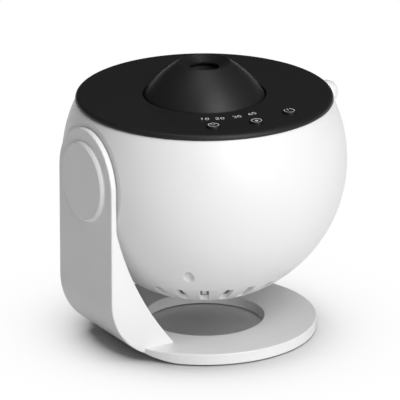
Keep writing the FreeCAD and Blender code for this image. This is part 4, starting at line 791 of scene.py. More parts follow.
@dataclass
class FocusCone:
    """The bell-sided cone with its stepped crown and the threaded sleeve under it."""

    flange_radius: float = half_span("focus_cone", 1)
    under: float = span("focus_cone", 2)[0]
    top: float = span("focus_cone", 2)[1]
    radius: float = 32.5
    flank_radius: float = 60.0
    flank_steps: int = 40
    wall: float = 2.2
    play: float = 0.05               # between the flange and the lid over it
    crown_radius: float = 14.2
    crown_land: float = 1.0
    crown_steps: int = 4
    step_drop: float = 0.6
    aperture_radius: float = 8.0
    aperture_lip: float = 1.2
    sleeve_bore: float = 12.05
    sleeve_radius: float = 13.9
    sleeve_under: float = 130.5
    hollow_top: float = 149.67
    hollow_edge: float = 133.54
    edge: float = 0.2                # rounding of the edges
    crown_edge: float = 0.25
    edge_steps: int = 4
    columns: int = 192

    def crown(self) -> np.ndarray:
        """The steps of the crown, down and in to the aperture, as tread and riser in turn.

        Returns:
            Radius and height, one a row.
        """
        step = np.arange(self.crown_steps)
        outer = self.crown_radius - self.crown_land
        radius = outer - step * (outer - self.aperture_radius) / self.crown_steps
        height = self.top - self.step_drop * step
        return np.stack([np.column_stack([radius, height]),
                         np.column_stack([radius, height - self.step_drop])], axis=1).reshape(-1, 2)

    def profile(self) -> np.ndarray:
        """The whole section, with a flank that is one arc and every edge slightly rounded.

        Returns:
            Radius and height, one a row.
        """
        floor = self.top - self.step_drop * self.crown_steps
        ceiling = floor - self.aperture_lip
        rim = PLATE_UNDER - self.play
        below = [(self.flange_radius, self.under), (self.flange_radius, rim), (self.radius, rim)]
        flank = bowed((self.radius, PLATE_TOP), (self.crown_radius, self.top), self.flank_radius,
                      self.flank_steps)
        inside = [(self.aperture_radius, floor), (self.aperture_radius, ceiling),
                  (self.sleeve_bore, ceiling), (self.sleeve_bore, self.sleeve_under),
                  (self.sleeve_radius, self.sleeve_under), (self.sleeve_radius, self.hollow_top),
                  (self.radius - self.wall, self.hollow_edge),
                  (self.radius - self.wall, self.under)]
        corners = np.concatenate([below, flank, self.crown(), inside, below[:1]])
        radii = np.full(len(corners), self.edge)
        flank_end = len(below) + len(flank)
        radii[len(below):flank_end] = 0.0
        radii[flank_end - 1] = self.crown_edge
        return rounded(corners, radii, self.edge_steps)

    def build(self, finish: bpy.types.Material) -> None:
        """Makes the cone.

        Args:
            finish: Its material.
        """
        skin = Skin()
        skin.add(turned(self.profile(), self.columns), closed=True)
        cone = skin.piece("cone", "focus_cone", finish)
        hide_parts("focus_cone")


class Mark(Enum):
    """The printed sign on a button."""

    CLOCK = "timer_button"
    DOT = "mode_button"
    POWER = "power_button"


@dataclass
class Button:
    """A round push button with a shallow dish in its top and a printed sign."""

    mark: Mark
    radius: float = 3.75             # of the part that stands out of the lid
    dish: float = 0.18
    rounding: float = 0.35
    flange_radius: float = 4.9
    flange_thickness: float = 0.8
    flange_edge: float = 0.1
    stem_radius: float = 1.6
    stem_length: float = 0.9
    stem_edge: float = 0.2
    line: float = 0.4                # width of the printed lines
    sign_radius: float = 2.75
    dot_radius: float = 0.5          # of the dot's middle line, which is a ring
    dot_line: float = 0.8            # and that line's width, nearly enough to close it
    ink: float = 0.03                # how far the ink stands out of the top
    ink_root: float = 0.12           # and how far it reaches in
    dish_steps: int = 11
    columns: int = 96

    @property
    def centre(self) -> Pair:
        """Where the button stands."""
        return middle_of(self.mark.value, 0), middle_of(self.mark.value, 1)

    @property
    def top(self) -> float:
        """Height of the button's rim."""
        return span(self.mark.value, 2)[1]

    @property
    def land(self) -> float:
        """Radius at which the dish meets the rounded rim."""
        return self.radius - self.rounding

    def height(self, radius: np.ndarray) -> np.ndarray:
        """Height of the dished top at a radius: the dish sinks as r squared."""
        return self.top - self.dish * (1 - (radius / self.land) ** 2)

    def body(self) -> np.ndarray:
        """The section: stem, hidden flange, side, rounded rim and dish.

        Returns:
            Radius and height, one a row.
        """
        under = span(self.mark.value, 2)[0]
        flange = under + self.stem_length
        shoulder = flange + self.flange_thickness
        corners = np.array([
            (0, under), (self.stem_radius, under), (self.stem_radius, flange),
            (self.flange_radius, flange), (self.flange_radius, shoulder),
            (self.radius, shoulder), (self.radius, self.top), (0, self.top)])
        side = rounded(corners, np.array([0, self.stem_edge, 0, self.flange_edge,
                                          self.flange_edge, 0, self.rounding, 0]))[:-1]
        away = self.land * np.linspace(1, 0, self.dish_steps + 1)[1:]
        return np.concatenate([side, np.column_stack([away, self.height(away)])])

    def strokes(self) -> list[tuple[np.ndarray, float]]:
        """The lines of the sign.

        Returns:
            Middle line, round the button's centre, and width of each.
        """
        whole = arc(self.sign_radius, 0, 360, steps=64), self.line
        if self.mark is Mark.CLOCK:
            return [whole, (np.array([(-0.9, 1.2), (-0.45, 0.5), (0, -0.2)]), self.line),
                    (np.array([(-0.1, -0.2), (0.6, 0.2), (1.3, 0.6)]), self.line)]
        if self.mark is Mark.DOT:
            return [whole, (arc(self.dot_radius, 0, 360, steps=32), self.dot_line)]
        return [(arc(self.sign_radius, 120, 420, steps=56), self.line),
                (np.array([(0, 3.0), (0, 1.9), (0, 0.8)]), self.line)]

    def build(self, plastic: bpy.types.Material, ink: bpy.types.Material) -> None:
        """Makes the button and, as a piece of its own, the ink on it.

        Args:
            plastic: The button's finish.
            ink: The print's finish.
        """
        skin = Skin()
        skin.add(turned(self.body(), self.columns, self.centre), closed=True)
        button = skin.piece(self.mark.value + "_cap", self.mark.value, plastic)
        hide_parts(self.mark.value)
        sign = Skin()
        for line, width in self.strokes():
            grid = ribbon(line + np.array(self.centre), width, -self.ink_root, self.ink)
            grid[..., 2] += self.height(np.linalg.norm(grid[..., :2] - self.centre, axis=-1))
            sign.add(grid, closed=True)
        printed = sign.piece(self.mark.value + "_sign", self.mark.value, ink)


@dataclass
class LidMarks:
    """Plain numbers printed on the lid behind the buttons."""

    circle: float = 42.2             # distance of the numbers from the middle
    angles: tuple[float, ...] = (-30.0, -18.8, -5.7, 7.1)
    size: float = 3.3                # height of a number
    spacing: float = 0.42            # of a digit from its number's middle, as a share of size
    line: float = 0.45
    ink: float = 0.03                # how far the ink stands out of the lid
    ink_root: float = 0.05           # and how far it reaches in

    def digit(self, number: int) -> list[np.ndarray]:
        """Middle lines of one digit, in units of its height, round its own middle.

        Args:
            number: The digit, from 0 to 4.

        Returns:
            The lines.
        """
        if number == 0:
            return [arc(1.0, 90, 450, steps=32) * (0.27, 0.44)]
        if number == 1:
            return [np.array([(-0.18, 0.27), (-0.08, 0.34), (0.04, 0.46)]),
                    np.array([(0.04, 0.48), (0.04, 0), (0.04, -0.48)])]
        if number == 2:
            bowl = arc(0.25, 165, -38, (0, 0.2), 16)
            return [np.concatenate([bowl, [(-0.28, -0.44)]]),
                    np.array([(-0.3, -0.44), (0, -0.44), (0.3, -0.44)])]
        if number == 3:
            return [arc(0.23, 150, -85, (0, 0.22), 16), arc(0.25, 85, -150, (0, -0.2), 16)]
        return [np.array([(0.12, -0.48), (0.12, 0), (0.12, 0.46)]),
                np.array([(0.12, 0.46), (-0.12, 0.14), (-0.34, -0.18)]),
                np.array([(-0.34, -0.18), (0, -0.18), (0.32, -0.18)])]

    def build(self, ink: bpy.types.Material) -> None:
        """Lays 10, 20, 30 and 40 on the lid, each turned to face outwards.

        Args:
            ink: The print's finish.
        """
        skin = Skin()
        for angle, tens in zip(self.angles, (1, 2, 3, 4)):
            across = bearings(math.radians(angle))
            inwards = np.array([-across[1], across[0]])
            for number, shift in ((tens, -self.spacing), (0, self.spacing)):
                for stroke in self.digit(number):
                    path = ((stroke[:, :1] + shift) * across + stroke[:, 1:] * inwards) * self.size
                    skin.add(ribbon(path - inwards * self.circle, self.line,
                                    PLATE_TOP - self.ink_root, PLATE_TOP + self.ink), closed=True)
        marks = skin.piece("lid_marks", "head", ink)


# ----------------------------------------------------------------------------------------------
# Stand: pivot cap, ring and arm
# ----------------------------------------------------------------------------------------------

@dataclass
class PivotCap:
    """The round cover over the pivot, with a soft bevel and a skirt in the arm's recess."""

    radius: float = half_span("pivot_cap", 1)
    face: float = -span("pivot_cap", 0)[0]
    skirt_end: float = -span("pivot_cap", 0)[1]
    proud: float = 2.5
    wall: float = 0.9
    bevel: float = 1.1
    skirt_radius: float = 18.9
    skirt_wall: float = 1.5
    crown: float = 0.12              # how much the face swells towards its middle
    edges: tuple[float, ...] = (0, 0.3, 0.1, 0.1, 0, 0.05, 0.25, 0.45, 0)   # at each corner
    swell_steps: int = 15
    columns: int = 160

    def profile(self) -> np.ndarray:
        """The section, with a face that swells as 1 minus r squared.

        Returns:
            Radius and distance out along -X, one a row.
        """
        seat = self.face - self.proud
        land = self.radius - self.bevel
        inner = self.skirt_radius - self.skirt_wall
        corners = np.array([
            (0, self.face - self.wall), (inner, self.face - self.wall), (inner, self.skirt_end),
            (self.skirt_radius, self.skirt_end), (self.skirt_radius, seat), (self.radius, seat),
            (self.radius, self.face - self.bevel), (land, self.face - self.crown),
            (0, self.face - self.crown)])
        rim = rounded(corners, np.array(self.edges))[:-1]
        share = np.linspace(rim[-1, 0] / land, 0, self.swell_steps + 1)[1:]
        swell = np.column_stack([land * share, self.face - self.crown * share ** 2])
        return np.concatenate([rim, swell])

    def build(self, finish: bpy.types.Material) -> None:
        """Makes the cap: the turned grid's height points out along -X.

        Args:
            finish: Its material.
        """
        upright = turned(self.profile(), self.columns)
        skin = Skin()
        skin.add(np.stack([-upright[..., 2], upright[..., 0], upright[..., 1] + PIVOT_HEIGHT],
                          axis=-1), closed=True)
        cap = skin.piece("cap", "stand", finish)
        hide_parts("pivot_cap")


@dataclass
class Stand:
    """Ring and arm in one moulding: the arm bends under into the ring and swells into a gusset."""

    half_width: float = 29.1
    outer: float = 74.2              # how far out the arm's two faces lie along -X
    inner: float = 70.8
    bend_radius: float = 34.9
    gusset_foot: float = 35.6
    gusset_top: float = 75.5
    gusset_radius: float = 172.0
    relief_radius: float = 78.1      # the sphere that keeps the gusset off the bowl
    edge: float = 0.8
    seam: float = 77.0               # where the flat head of the arm ends
    recess_radius: float = 19.0
    recess_floor: float = 72.4
    bore_radius: float = 9.0
    under: float = span("stand_frame", 2)[0]
    ring_radius: float = half_span("stand_frame", 1)
    ring_bore: float = 32.7
    ring_top: float = 6.7
    ring_edge: float = 0.5           # rounding of the ring's upper edges
    ring_foot_edge: float = 0.3      # of its lower edges
    mouth_edge: float = 0.2          # of the channel's mouth
    roof_edge: float = 0.4           # and in the channel's roof
    ring_wall: float = 2.0
    ring_roof: float = 1.6
    lift_start: float = 0.1          # inside the ring's edge, what lies low begins to be lifted
    lift_run: float = 0.9            # and is lifted in full this much further in
    touch: float = 0.01              # points this near the channel's walls belong to it
    line_steps: int = 60             # pieces in the bend and in the hollow arc
    side_steps: int = 10             # pieces in each straight side of the head, and over its top
    top_steps: int = 96
    bent_rows: int = 120
    slope_steps: int = 400           # places at which a section's slope is worked out
    across: int = 48
    fillet_steps: int = 6
    head_loops: int = 7              # loops across each flat face of the arm's head
    ring_steps: int = 100
    ring_columns: int = 288

    @property
    def seat(self) -> float:
        """Height inside the ring's roof at which the arm's foot ends."""
        return self.ring_top - self.ring_roof / 2

    @cached_property
    def outer_line(self) -> np.ndarray:
        """Section of the arm's outside, downwards: a straight, a quarter circle and the foot.

        Returns:
            Points of the line, in x and z.
        """
        low = self.under + self.bend_radius
        bend = arc(self.bend_radius, 180, 270, (self.bend_radius - self.outer, low),
                   self.line_steps)
        return np.concatenate([[(-self.outer, self.seam)], bend, [(-self.gusset_foot, self.under)]])

    @cached_property
    def inner_line(self) -> np.ndarray:
        """Section of the arm's inside, downwards: a short straight and one hollow arc.

        Returns:
            Points of the line, in x and z.
        """
        hollow = bowed((-self.inner, self.gusset_top), (-self.gusset_foot, self.ring_top),
                       self.gusset_radius, self.line_steps)
        return np.concatenate([[(-self.inner, self.seam)], hollow,
                               [(-self.gusset_foot, self.seat)]])

    def bent(self, outside: bool, share: np.ndarray, y: np.ndarray, depth: float) -> np.ndarray:
        """Points of the bent part of the arm, below the seam.

        A point lies at a share of the section line's length, and depth inwards square to the
        line. Inside, x is the smaller of the line's and the relief sphere's, but not past the
        arm's inner face. What would hang in the ring's channel is lifted into its roof.

        Args:
            outside: Whether the point lies on the outside.
            share: How far along the section, 0 at the seam and 1 at the foot.
            y: Place across the arm; it spreads against share.
            depth: How far under the surface.

        Returns:
            The points.
        """
        line = self.outer_line if outside else self.inner_line
        place = along(line, share)
        slope = unit(np.gradient(along(line, np.linspace(0, 1, self.slope_steps + 1)), axis=0))
        index = np.round(share * self.slope_steps).astype(int)
        side = 1 if outside else -1
        inwards = np.stack([-slope[index, 1], slope[index, 0]], axis=-1) * side
        x, z, y = np.broadcast_arrays(place[..., 0], place[..., 1], y)
        if not outside:
            relief = -np.sqrt(np.maximum(
                self.relief_radius ** 2 - y ** 2 - (z - PIVOT_HEIGHT) ** 2, 0))
            x = np.maximum(np.minimum(x, relief), -self.inner)
        depth = depth * (share < 1)
        x, z = x + inwards[..., 0] * depth, z + inwards[..., 1] * depth
        within = self.ring_radius - self.lift_start - np.hypot(x, y)
        z = z + np.maximum(self.seat - z, 0) * np.clip(within / self.lift_run, 0, 1)
        return np.stack([x, y, z], axis=-1)

    def rim(self, inset: float) -> np.ndarray:
        """Outline of the arm's flat head, from one end of the seam over the top to the other.

        Args:
            inset: How far inside the arm's side it lies.

        Returns:
            The points, in y and z.
        """
        half = self.half_width - inset
        height = np.linspace(self.seam, PIVOT_HEIGHT, self.side_steps + 1)[:-1]
        side = np.column_stack([np.full(len(height), half), height])
        return np.concatenate([side, arc(half, 0, 180, (0, PIVOT_HEIGHT), self.top_steps),
                               side[::-1] * (-1, 1)])

    def edge_band(self) -> np.ndarray:
        """The arm's edge: quarter circles from each face into the flat side between them.

        At an angle a of the quarter circle of radius e, the place is e(1 - sin a) in from the
        side and e(1 - cos a) under the face.

        Returns:
            Grid of points: across the edge along the rows, once round the arm along the columns.
        """
        share = np.linspace(1, 0, self.bent_rows + 1)
        quarter = np.radians(np.linspace(0, 90, self.fillet_steps + 1))
        rows = []
        for outside in (True, False):
            for turn in quarter if outside else quarter[::-1]:
                inset = self.edge * (1 - math.sin(turn))
                depth = self.edge * (1 - math.cos(turn))
                half = self.half_width - inset
                head = self.rim(inset)
                x = -self.outer + depth if outside else -self.inner - depth
                head = np.column_stack([np.full(len(head), x), head])
                up = self.bent(outside, share, np.array(half), depth)
                down = self.bent(outside, share[::-1], np.array(-half), depth)
                rows.append(np.concatenate([up[:-1], head, down[1:]]))
        return np.stack(rows)

    def head(self, y: np.ndarray) -> np.ndarray:
        """The arm's flat head: from its outline in to the recess, the bore and out inside again.

        Each loop's point lies at the same bearing from the pivot as the outline's point.

        Args:
            y: Places along the seam.

        Returns:
            Grid of points: one loop a row.
        """
        outline = np.concatenate([self.rim(self.edge),
                                  np.column_stack([y, np.full(len(y), self.seam)])[1:-1]])
        pivot = np.array([0, PIVOT_HEIGHT])
        bearing = unit(outline - pivot)
        share = np.linspace(0, 1, self.head_loops)[:, None, None]
        recess, bore = pivot + bearing * self.recess_radius, pivot + bearing * self.bore_radius
        flat = np.concatenate([(1 - share) * outline + share * recess,
                               np.stack([recess, bore, bore]),
                               ((1 - share) * bore + share * outline)[1:]])
        depth = np.repeat([self.outer, self.recess_floor, self.inner],
                          [self.head_loops, 2, self.head_loops])
        return np.concatenate([np.broadcast_to(-depth[:, None, None], (*flat.shape[:2], 1)), flat],
                              axis=-1)

    def ring(self) -> np.ndarray:
        """The ring with its channel open downwards, trimmed where the arm's bend begins.

        Past the bend's foot nothing lies lower than the bend's circle, r - sqrt(r^2 - x^2) above
        the underside at a distance x from its foot. The channel is closed there.

        Returns:
            Grid of points: once round the section along the rows, round the ring along the
            columns.
        """
        outer, inner = self.ring_radius, self.ring_bore
        roof = self.ring_top - self.ring_roof
        walls = inner + self.ring_wall, outer - self.ring_wall
        corners = np.array([
            (walls[1], self.under), (outer, self.under), (outer, self.ring_top),
            (inner, self.ring_top), (inner, self.under), (walls[0], self.under),
            (walls[0], roof), (walls[1], roof), (walls[1], self.under)])
        radii = np.array([0, self.ring_foot_edge, self.ring_edge, self.ring_edge,
                          self.ring_foot_edge, self.mouth_edge, self.roof_edge,
                          self.roof_edge, 0])
        section = rounded(corners, radii)
        length = lengths(section)
        share = np.union1d(np.linspace(0, 1, self.ring_steps + 1), length / length[-1])
        x, y, z = np.moveaxis(turned(along(section, share), self.ring_columns), -1, 0)
        away = np.hypot(x, y)
        channel = ((away > walls[0] - self.touch) & (away < walls[1] + self.touch)
                   & (z < roof + self.touch))
        foot = self.outer - self.bend_radius
        past = np.clip(-foot - x, 0, self.bend_radius)
        rise = self.under + self.bend_radius - np.sqrt(self.bend_radius ** 2 - past ** 2)
        z = np.where(channel & (past > 0), rise, np.maximum(z, rise))
        height = self.ring_top - self.under
        end = -foot - math.sqrt(self.bend_radius ** 2 - (self.bend_radius - height) ** 2)
        return np.stack([np.maximum(x, end), y, np.minimum(z, self.ring_top)], axis=-1)

    def build(self, finish: bpy.types.Material) -> None:
        """Makes ring and arm as one piece.

        Args:
            finish: Its material.
        """
        skin = Skin()
        skin.add(self.ring(), closed=True)
        skin.add(self.edge_band())
        half = self.half_width - self.edge
        y = np.linspace(-half, half, self.across + 1)
        skin.add(self.head(y), closed=True)
        share = np.linspace(0, 1, self.bent_rows + 1)[:, None]
        for outside in (True, False):
            skin.add(self.bent(outside, share, y, 0.0))
        stand = skin.piece("ring_and_arm", "stand", finish)
        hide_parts("stand_frame")


# ----------------------------------------------------------------------------------------------
# Head: bowl and tray knob
# ----------------------------------------------------------------------------------------------

LIP_TURNS = np.radians(np.linspace(0, 90, 5))


@dataclass
class Bowl:
    """The spherical bowl: an outer and an inner skin, joined through every opening.

    Both skins are cut into the same cells: 288 columns round the vertical, and rows that climb
    from the bottom. Where an opening lies, a block of cells is left out, and loops run in from
    the block's frame to the opening's edge, through the wall, and out to the inner block's frame.
    A block is given by its first column and the one past its last, and its rows the same way.
    """

    radius: float = BOWL_RADIUS
    wall: float = 2.4
    rim: float = PLATE_UNDER
    columns: int = 288
    lip: float = 0.4                 # rounding of the openings' outer edges
    approach: tuple[float, ...] = (0, 0.35, 0.7)   # shares of the way from a frame to a lip
    way_in: tuple[float, ...] = (0, 0.2, 0.4, 0.6, 0.8, 0.95, 1)   # and to a pierced opening
    way_out: tuple[float, ...] = (0, 0.05, 0.3, 0.6, 1)   # and from it, inside the wall
    vent_count: int = 24
    vent_width: float = 4.6
    vent_inner: float = 36.4
    vent_outer: float = 51.4
    vent_belt: Pair = (33.0, 54.5)   # distances from the middle that the vents' cells lie between
    middle_rows: int = 10            # rows inside the vents' belt
    belt_rows: int = 12              # rows of the wells' belt, outside the vents'
    well_belt: float = 68.5          # distance from the middle where the wells' belt ends
    well_belt_inside: float = 67.5
    well_circle: float = 62.1
    well_angle: float = 52.2         # bearing of the first well, in degrees
    well_radius: float = 2.85
    well_wall: float = 1.6
    well_end: float = 64.0
    well_roof: float = 2.0
    well_block: Block = (36, 48)
    side_rows: int = 44              # rows from the wells' belt to the rim
    facet: float = 70.4              # how far out the flat lies that faces the arm
    facet_rim: float = 0.4           # how far inside the flat's edge its first loop lies
    facet_loops: Pair = (0.75, 0.8)  # shares of its radius where one lies outside and inside
    facet_block: Block = (120, 168)
    facet_steps: tuple[Pair, ...] = ((15.7, 70.4), (15.7, 69.6), (7.1, 69.6),
                                     (7.1, 65.8), (19.0, 65.8), (19.0, 68.0))
    window_half: float = 30.3
    window: Pair = (117.0, 127.6)
    window_block: Block = (-24, 24)
    window_row: int = 31             # first row of the window's block
    jack_height: float = 84.0
    jack_face: float = 75.2
    jack_radius: float = 6.3
    jack_bore: float = 4.55
    jack_block: Block = (64, 80)
    jack_rows: Block = (8, 21)

    @property
    def turns(self) -> np.ndarray:
        """Angles of the columns, with the first one again at the end."""
        return np.arange(self.columns + 1) * math.tau / self.columns

    def under(self, radius: float, plan: np.ndarray) -> np.ndarray:
        """Points of the sphere under places in plan: z = pivot - sqrt(r^2 - x^2 - y^2)."""
        drop = np.sqrt(radius ** 2 - (plan ** 2).sum(-1, keepdims=True))
        return np.concatenate([plan, PIVOT_HEIGHT - drop], axis=-1)

    def beside(self, radius: float, flat: np.ndarray, axis: int, sign: int) -> np.ndarray:
        """Points of the sphere seen along X or Y, from the other coordinate and the height.

        The depth is sqrt(r^2 - u^2 - (z - pivot)^2), out along the axis.

        Args:
            radius: Radius of the sphere.
            flat: The other coordinate u and the height z, along the last axis.
            axis: 0 to look along X and 1 along Y.
            sign: Which way along it the points lie.

        Returns:
            The points.
        """
        depth = sign * np.sqrt(radius ** 2 - flat[..., 0] ** 2
                               - (flat[..., 1] - PIVOT_HEIGHT) ** 2)
        pair = (depth, flat[..., 0]) if axis == 0 else (flat[..., 0], depth)
        return np.stack([*pair, flat[..., 1]], axis=-1)

    def belt(self, radius: float, start: float, end: float, rows: int) -> np.ndarray:
        """A grid on the sphere between two distances from the vertical through its middle."""
        away = np.linspace(start, end, rows + 1)[:, None, None]
        return self.under(radius, away * bearings(self.turns))

    def side(self, radius: float, belt_end: float) -> np.ndarray:
        """A grid on the sphere from the lower belts up to the rim, in even steps of latitude.

        Args:
            radius: Radius of the sphere.
            belt_end: Distance from the middle where the belts end.

        Returns:
            Grid of points: latitude along the rows, angle along the columns.
        """
        low = -math.acos(belt_end / radius)
        high = math.asin((self.rim - PIVOT_HEIGHT) / radius)
        latitude = np.linspace(low, high, self.side_rows + 1)[:, None]
        return np.stack([radius * np.cos(latitude) * np.cos(self.turns),
                         radius * np.cos(latitude) * np.sin(self.turns),
                         PIVOT_HEIGHT + radius * np.sin(latitude) + 0 * self.turns], axis=-1)

    def frame(self, grid: np.ndarray, block: Block, rows: Block) -> np.ndarray:
        """The points once round a block of a grid's cells, from its first column and row.

        Args:
            grid: The grid.
            block: The block's columns.
            rows: The block's rows.

        Returns:
            The points, one a row.
        """
        column = np.arange(block[0], block[1] + 1) % self.columns
        row = np.arange(rows[0], rows[1] + 1)
        return np.concatenate([grid[rows[0], column[:-1]], grid[row[:-1], column[-1]],
                               grid[rows[1], column[:0:-1]], grid[row[:0:-1], column[0]]])

    def kept(self, rows: int, blocks: list[tuple[Block, Block]]) -> np.ndarray:
        """Which cells of a grid are made: all but those in the blocks.

        Args:
            rows: Number of rows of cells.
            blocks: The columns and the rows of each block.

        Returns:
            True for each cell that is made.
        """
        keep = np.ones((rows, self.columns), dtype=bool)
        for block, (low, high) in blocks:
            keep[low:high, np.arange(*block) % self.columns] = False
        return keep

    def well_blocks(self) -> list[tuple[Block, Block]]:
        """The blocks of the four wells, a quarter turn apart.

        Returns:
            The columns and the rows of each block.
        """
        first, last = self.well_block
        return [((first + shift, last + shift), (0, self.belt_rows))
                for shift in range(0, self.columns, self.columns // 4)]

    def mouth(self, radius: float, frame: np.ndarray, outline: Callable[[float], np.ndarray],
              lip: float) -> list[np.ndarray]:
        """Loops from a frame on the sphere in to an opening and round its lip's quarter circle.

        At an angle a of the quarter circle of radius e, the outline is moved out by e(1 - sin a)
        and lies e(1 - cos a) above the sphere.

        Args:
            radius: Radius of the sphere.
            frame: The frame, in plan.
            outline: Gives the opening's outline in plan, moved outwards by a distance.
            lip: Radius of the lip.

        Returns:
            The loops.
        """
        edge = outline(lip)
        return [self.under(radius, frame + (edge - frame) * part) for part in self.approach] + [
            self.under(radius, outline(lip * (1 - math.sin(turn))))
            + (0, 0, lip * (1 - math.cos(turn))) for turn in LIP_TURNS]

    def vent(self) -> np.ndarray:
        """One cell of the vent belt round the slot that points along +X.

        The slot has straight sides, a half circle at its inner end and a square outer end. Its
        loops run from the cell's frame to the lip, round the lip's quarter circle, up the wall
        and out along the inner skin.

        Returns:
            Grid of points: one loop a row.
        """
        step = self.columns // self.vent_count
        share = np.arange(step) / step
        spread = math.pi / self.vent_count
        near, far = self.vent_belt
        bearing, away = spread * (2 * share - 1), near + (far - near) * share
        frame = np.concatenate([
            near * bearings(bearing), away[:, None] * bearings(spread),
            far * bearings(-bearing), (near + far - away)[:, None] * bearings(-spread)])
        half = self.vent_width / 2
        centre = self.vent_inner + half

        def slot(offset: float) -> np.ndarray:
            """Outline of the slot, moved outwards.

            Args:
                offset: How far it is moved.

            Returns:
                The points, once round.
            """
            wide, end = half + offset, self.vent_outer + offset
            run = centre + (end - centre) * share
            return np.concatenate([
                np.array([centre, 0]) + wide * bearings(math.pi * (1.5 - share)),
                np.column_stack([run, np.full(step, wide)]),
                np.column_stack([np.full(step, end), wide * (1 - 2 * share)]),
                np.column_stack([centre + end - run, np.full(step, -wide)])])

        inner = slot(0)
        return np.stack(self.mouth(self.radius, frame, slot, self.lip) + [
            self.under(self.radius - self.wall, inner + (frame - inner) * part)
            for part in (0, 0.5, 1)])

    def wells(self, outer: np.ndarray, inner: np.ndarray) -> list[np.ndarray]:
        """The screw wells and the bosses round them, as loops that close at their middles.

        Args:
            outer: The outer skin's belt, which the wells open through.
            inner: The inner skin's belt, which the bosses rise from.

        Returns:
            Grids of points: one for each well and each boss.
        """
        grids = []
        sides = ((outer, self.radius, self.well_radius, self.well_end, self.lip),
                 (inner, self.radius - self.wall, self.well_radius + self.well_wall,
                  self.well_end + self.well_roof, 0.0))
        for quarter, block in enumerate(self.well_blocks()):
            turn = math.radians(self.well_angle) + quarter * math.pi / 2
            centre = self.well_circle * bearings(turn)
            for skin, radius, hole, end, lip in sides:
                frame = self.frame(skin, *block)[:, :2]
                bearing = unit(frame - centre)
                loops = self.mouth(radius, frame,
                                   lambda grown: centre + bearing * (hole + grown), lip)
                loops += [np.column_stack([centre + bearing * hole * part,
                                           np.full(len(frame), end)]) for part in (1, 0.5, 0)]
                grids.append(np.stack(loops))
        return grids

    def pierced(self, outer: np.ndarray, inner: np.ndarray, axis: int, sign: int,
                edges: list[np.ndarray], middle: list[np.ndarray]) -> np.ndarray:
        """Loops from a frame on the outer skin through an opening to a frame on the inner one.

        Args:
            outer: Frame on the outer skin.
            inner: Frame on the inner skin.
            axis: Axis that the opening faces: 0 for X and 1 for Y.
            sign: Which way along it.
            edges: The opening's outline on the outer and on the inner skin.
            middle: Loops between the two outlines.

        Returns:
            The grid.
        """
        other = [1 - axis, 2]
        loops = [self.beside(self.radius, outer[:, other] * (1 - part) + edges[0] * part, axis,
                             sign) for part in self.way_in]
        loops += middle
        loops += [self.beside(self.radius - self.wall,
                              inner[:, other] * part + edges[1] * (1 - part), axis, sign)
                  for part in self.way_out]
        return np.stack(loops)

    def facet_patch(self, outer: np.ndarray, inner: np.ndarray) -> np.ndarray:
        """The flat that faces the arm, with the washer's seat, the hub's hole and the pad inside.

        Args:
            outer: Frame on the outer skin.
            inner: Frame on the inner skin.

        Returns:
            Grid of points: one loop a row.
        """
        pivot = np.array([0, PIVOT_HEIGHT])
        bearing = unit(outer[:, 1:] - pivot)
        back = self.facet - self.wall
        edges = [math.sqrt(self.radius ** 2 - self.facet ** 2),
                 math.sqrt((self.radius - self.wall) ** 2 - back ** 2)]
        steps = [(edges[0] - self.facet_rim, self.facet),
                 (edges[0] * self.facet_loops[0], self.facet),
                 *self.facet_steps,
                 (edges[1] * self.facet_loops[1], back), (edges[1] - self.facet_rim, back)]
        middle = [np.column_stack([np.full(len(bearing), -depth), pivot + bearing * away])
                  for away, depth in steps]
        return self.pierced(outer, inner, 0, -1, [pivot + bearing * away for away in edges], middle)

    def window_patch(self, outer: np.ndarray, inner: np.ndarray) -> np.ndarray:
        """The window of the film tray: its side walls run straight in along X.

        Args:
            outer: Frame on the outer skin.
            inner: Frame on the inner skin.

        Returns:
            Grid of points: one loop a row.
        """
        across = np.linspace(-1, 1, self.window_block[1] - self.window_block[0] + 1)[:-1]
        upwards = np.linspace(-1, 1, self.side_rows - self.window_row + 1)[:-1]

        def outline(grown: float) -> np.ndarray:
            """The rectangle of the window, grown on every side.

            Args:
                grown: How much it is grown.

            Returns:
                The points, once round, in y and z.
            """
            half = self.window_half + grown
            middle, reach = sum(self.window) / 2, (self.window[1] - self.window[0]) / 2 + grown
            return np.concatenate([
                np.column_stack([half * across, np.full(len(across), middle - reach)]),
                np.column_stack([np.full(len(upwards), half), middle + reach * upwards]),
                np.column_stack([-half * across, np.full(len(across), middle + reach)]),
                np.column_stack([np.full(len(upwards), -half), middle - reach * upwards])])

        middle = [self.beside(self.radius, outline(self.lip * (1 - math.sin(turn))), 0, 1)
                  - (self.lip * (1 - math.cos(turn)), 0, 0) for turn in LIP_TURNS[1:]]
        return self.pierced(outer, inner, 0, 1, [outline(self.lip), outline(0.0)], middle)

    def jack_patch(self, outer: np.ndarray, inner: np.ndarray) -> np.ndarray:
        """The flat seat of the power inlet, sunk in the sphere, and the bore through it.

        Args:
            outer: Frame on the outer skin.
            inner: Frame on the inner skin.

        Returns:
            Grid of points: one loop a row.
        """
        centre = np.array([0, self.jack_height])
        bearing = unit(outer[:, [0, 2]] - centre)
        floor = [centre + bearing * away for away in (self.jack_radius, self.jack_bore)]
        middle = [self.beside(self.radius, loop, 1, 1) for loop in floor]
        for loop in middle:
            loop[:, 1] = np.minimum(loop[:, 1], self.jack_face)
        return self.pierced(outer, inner, 1, 1, floor, middle)

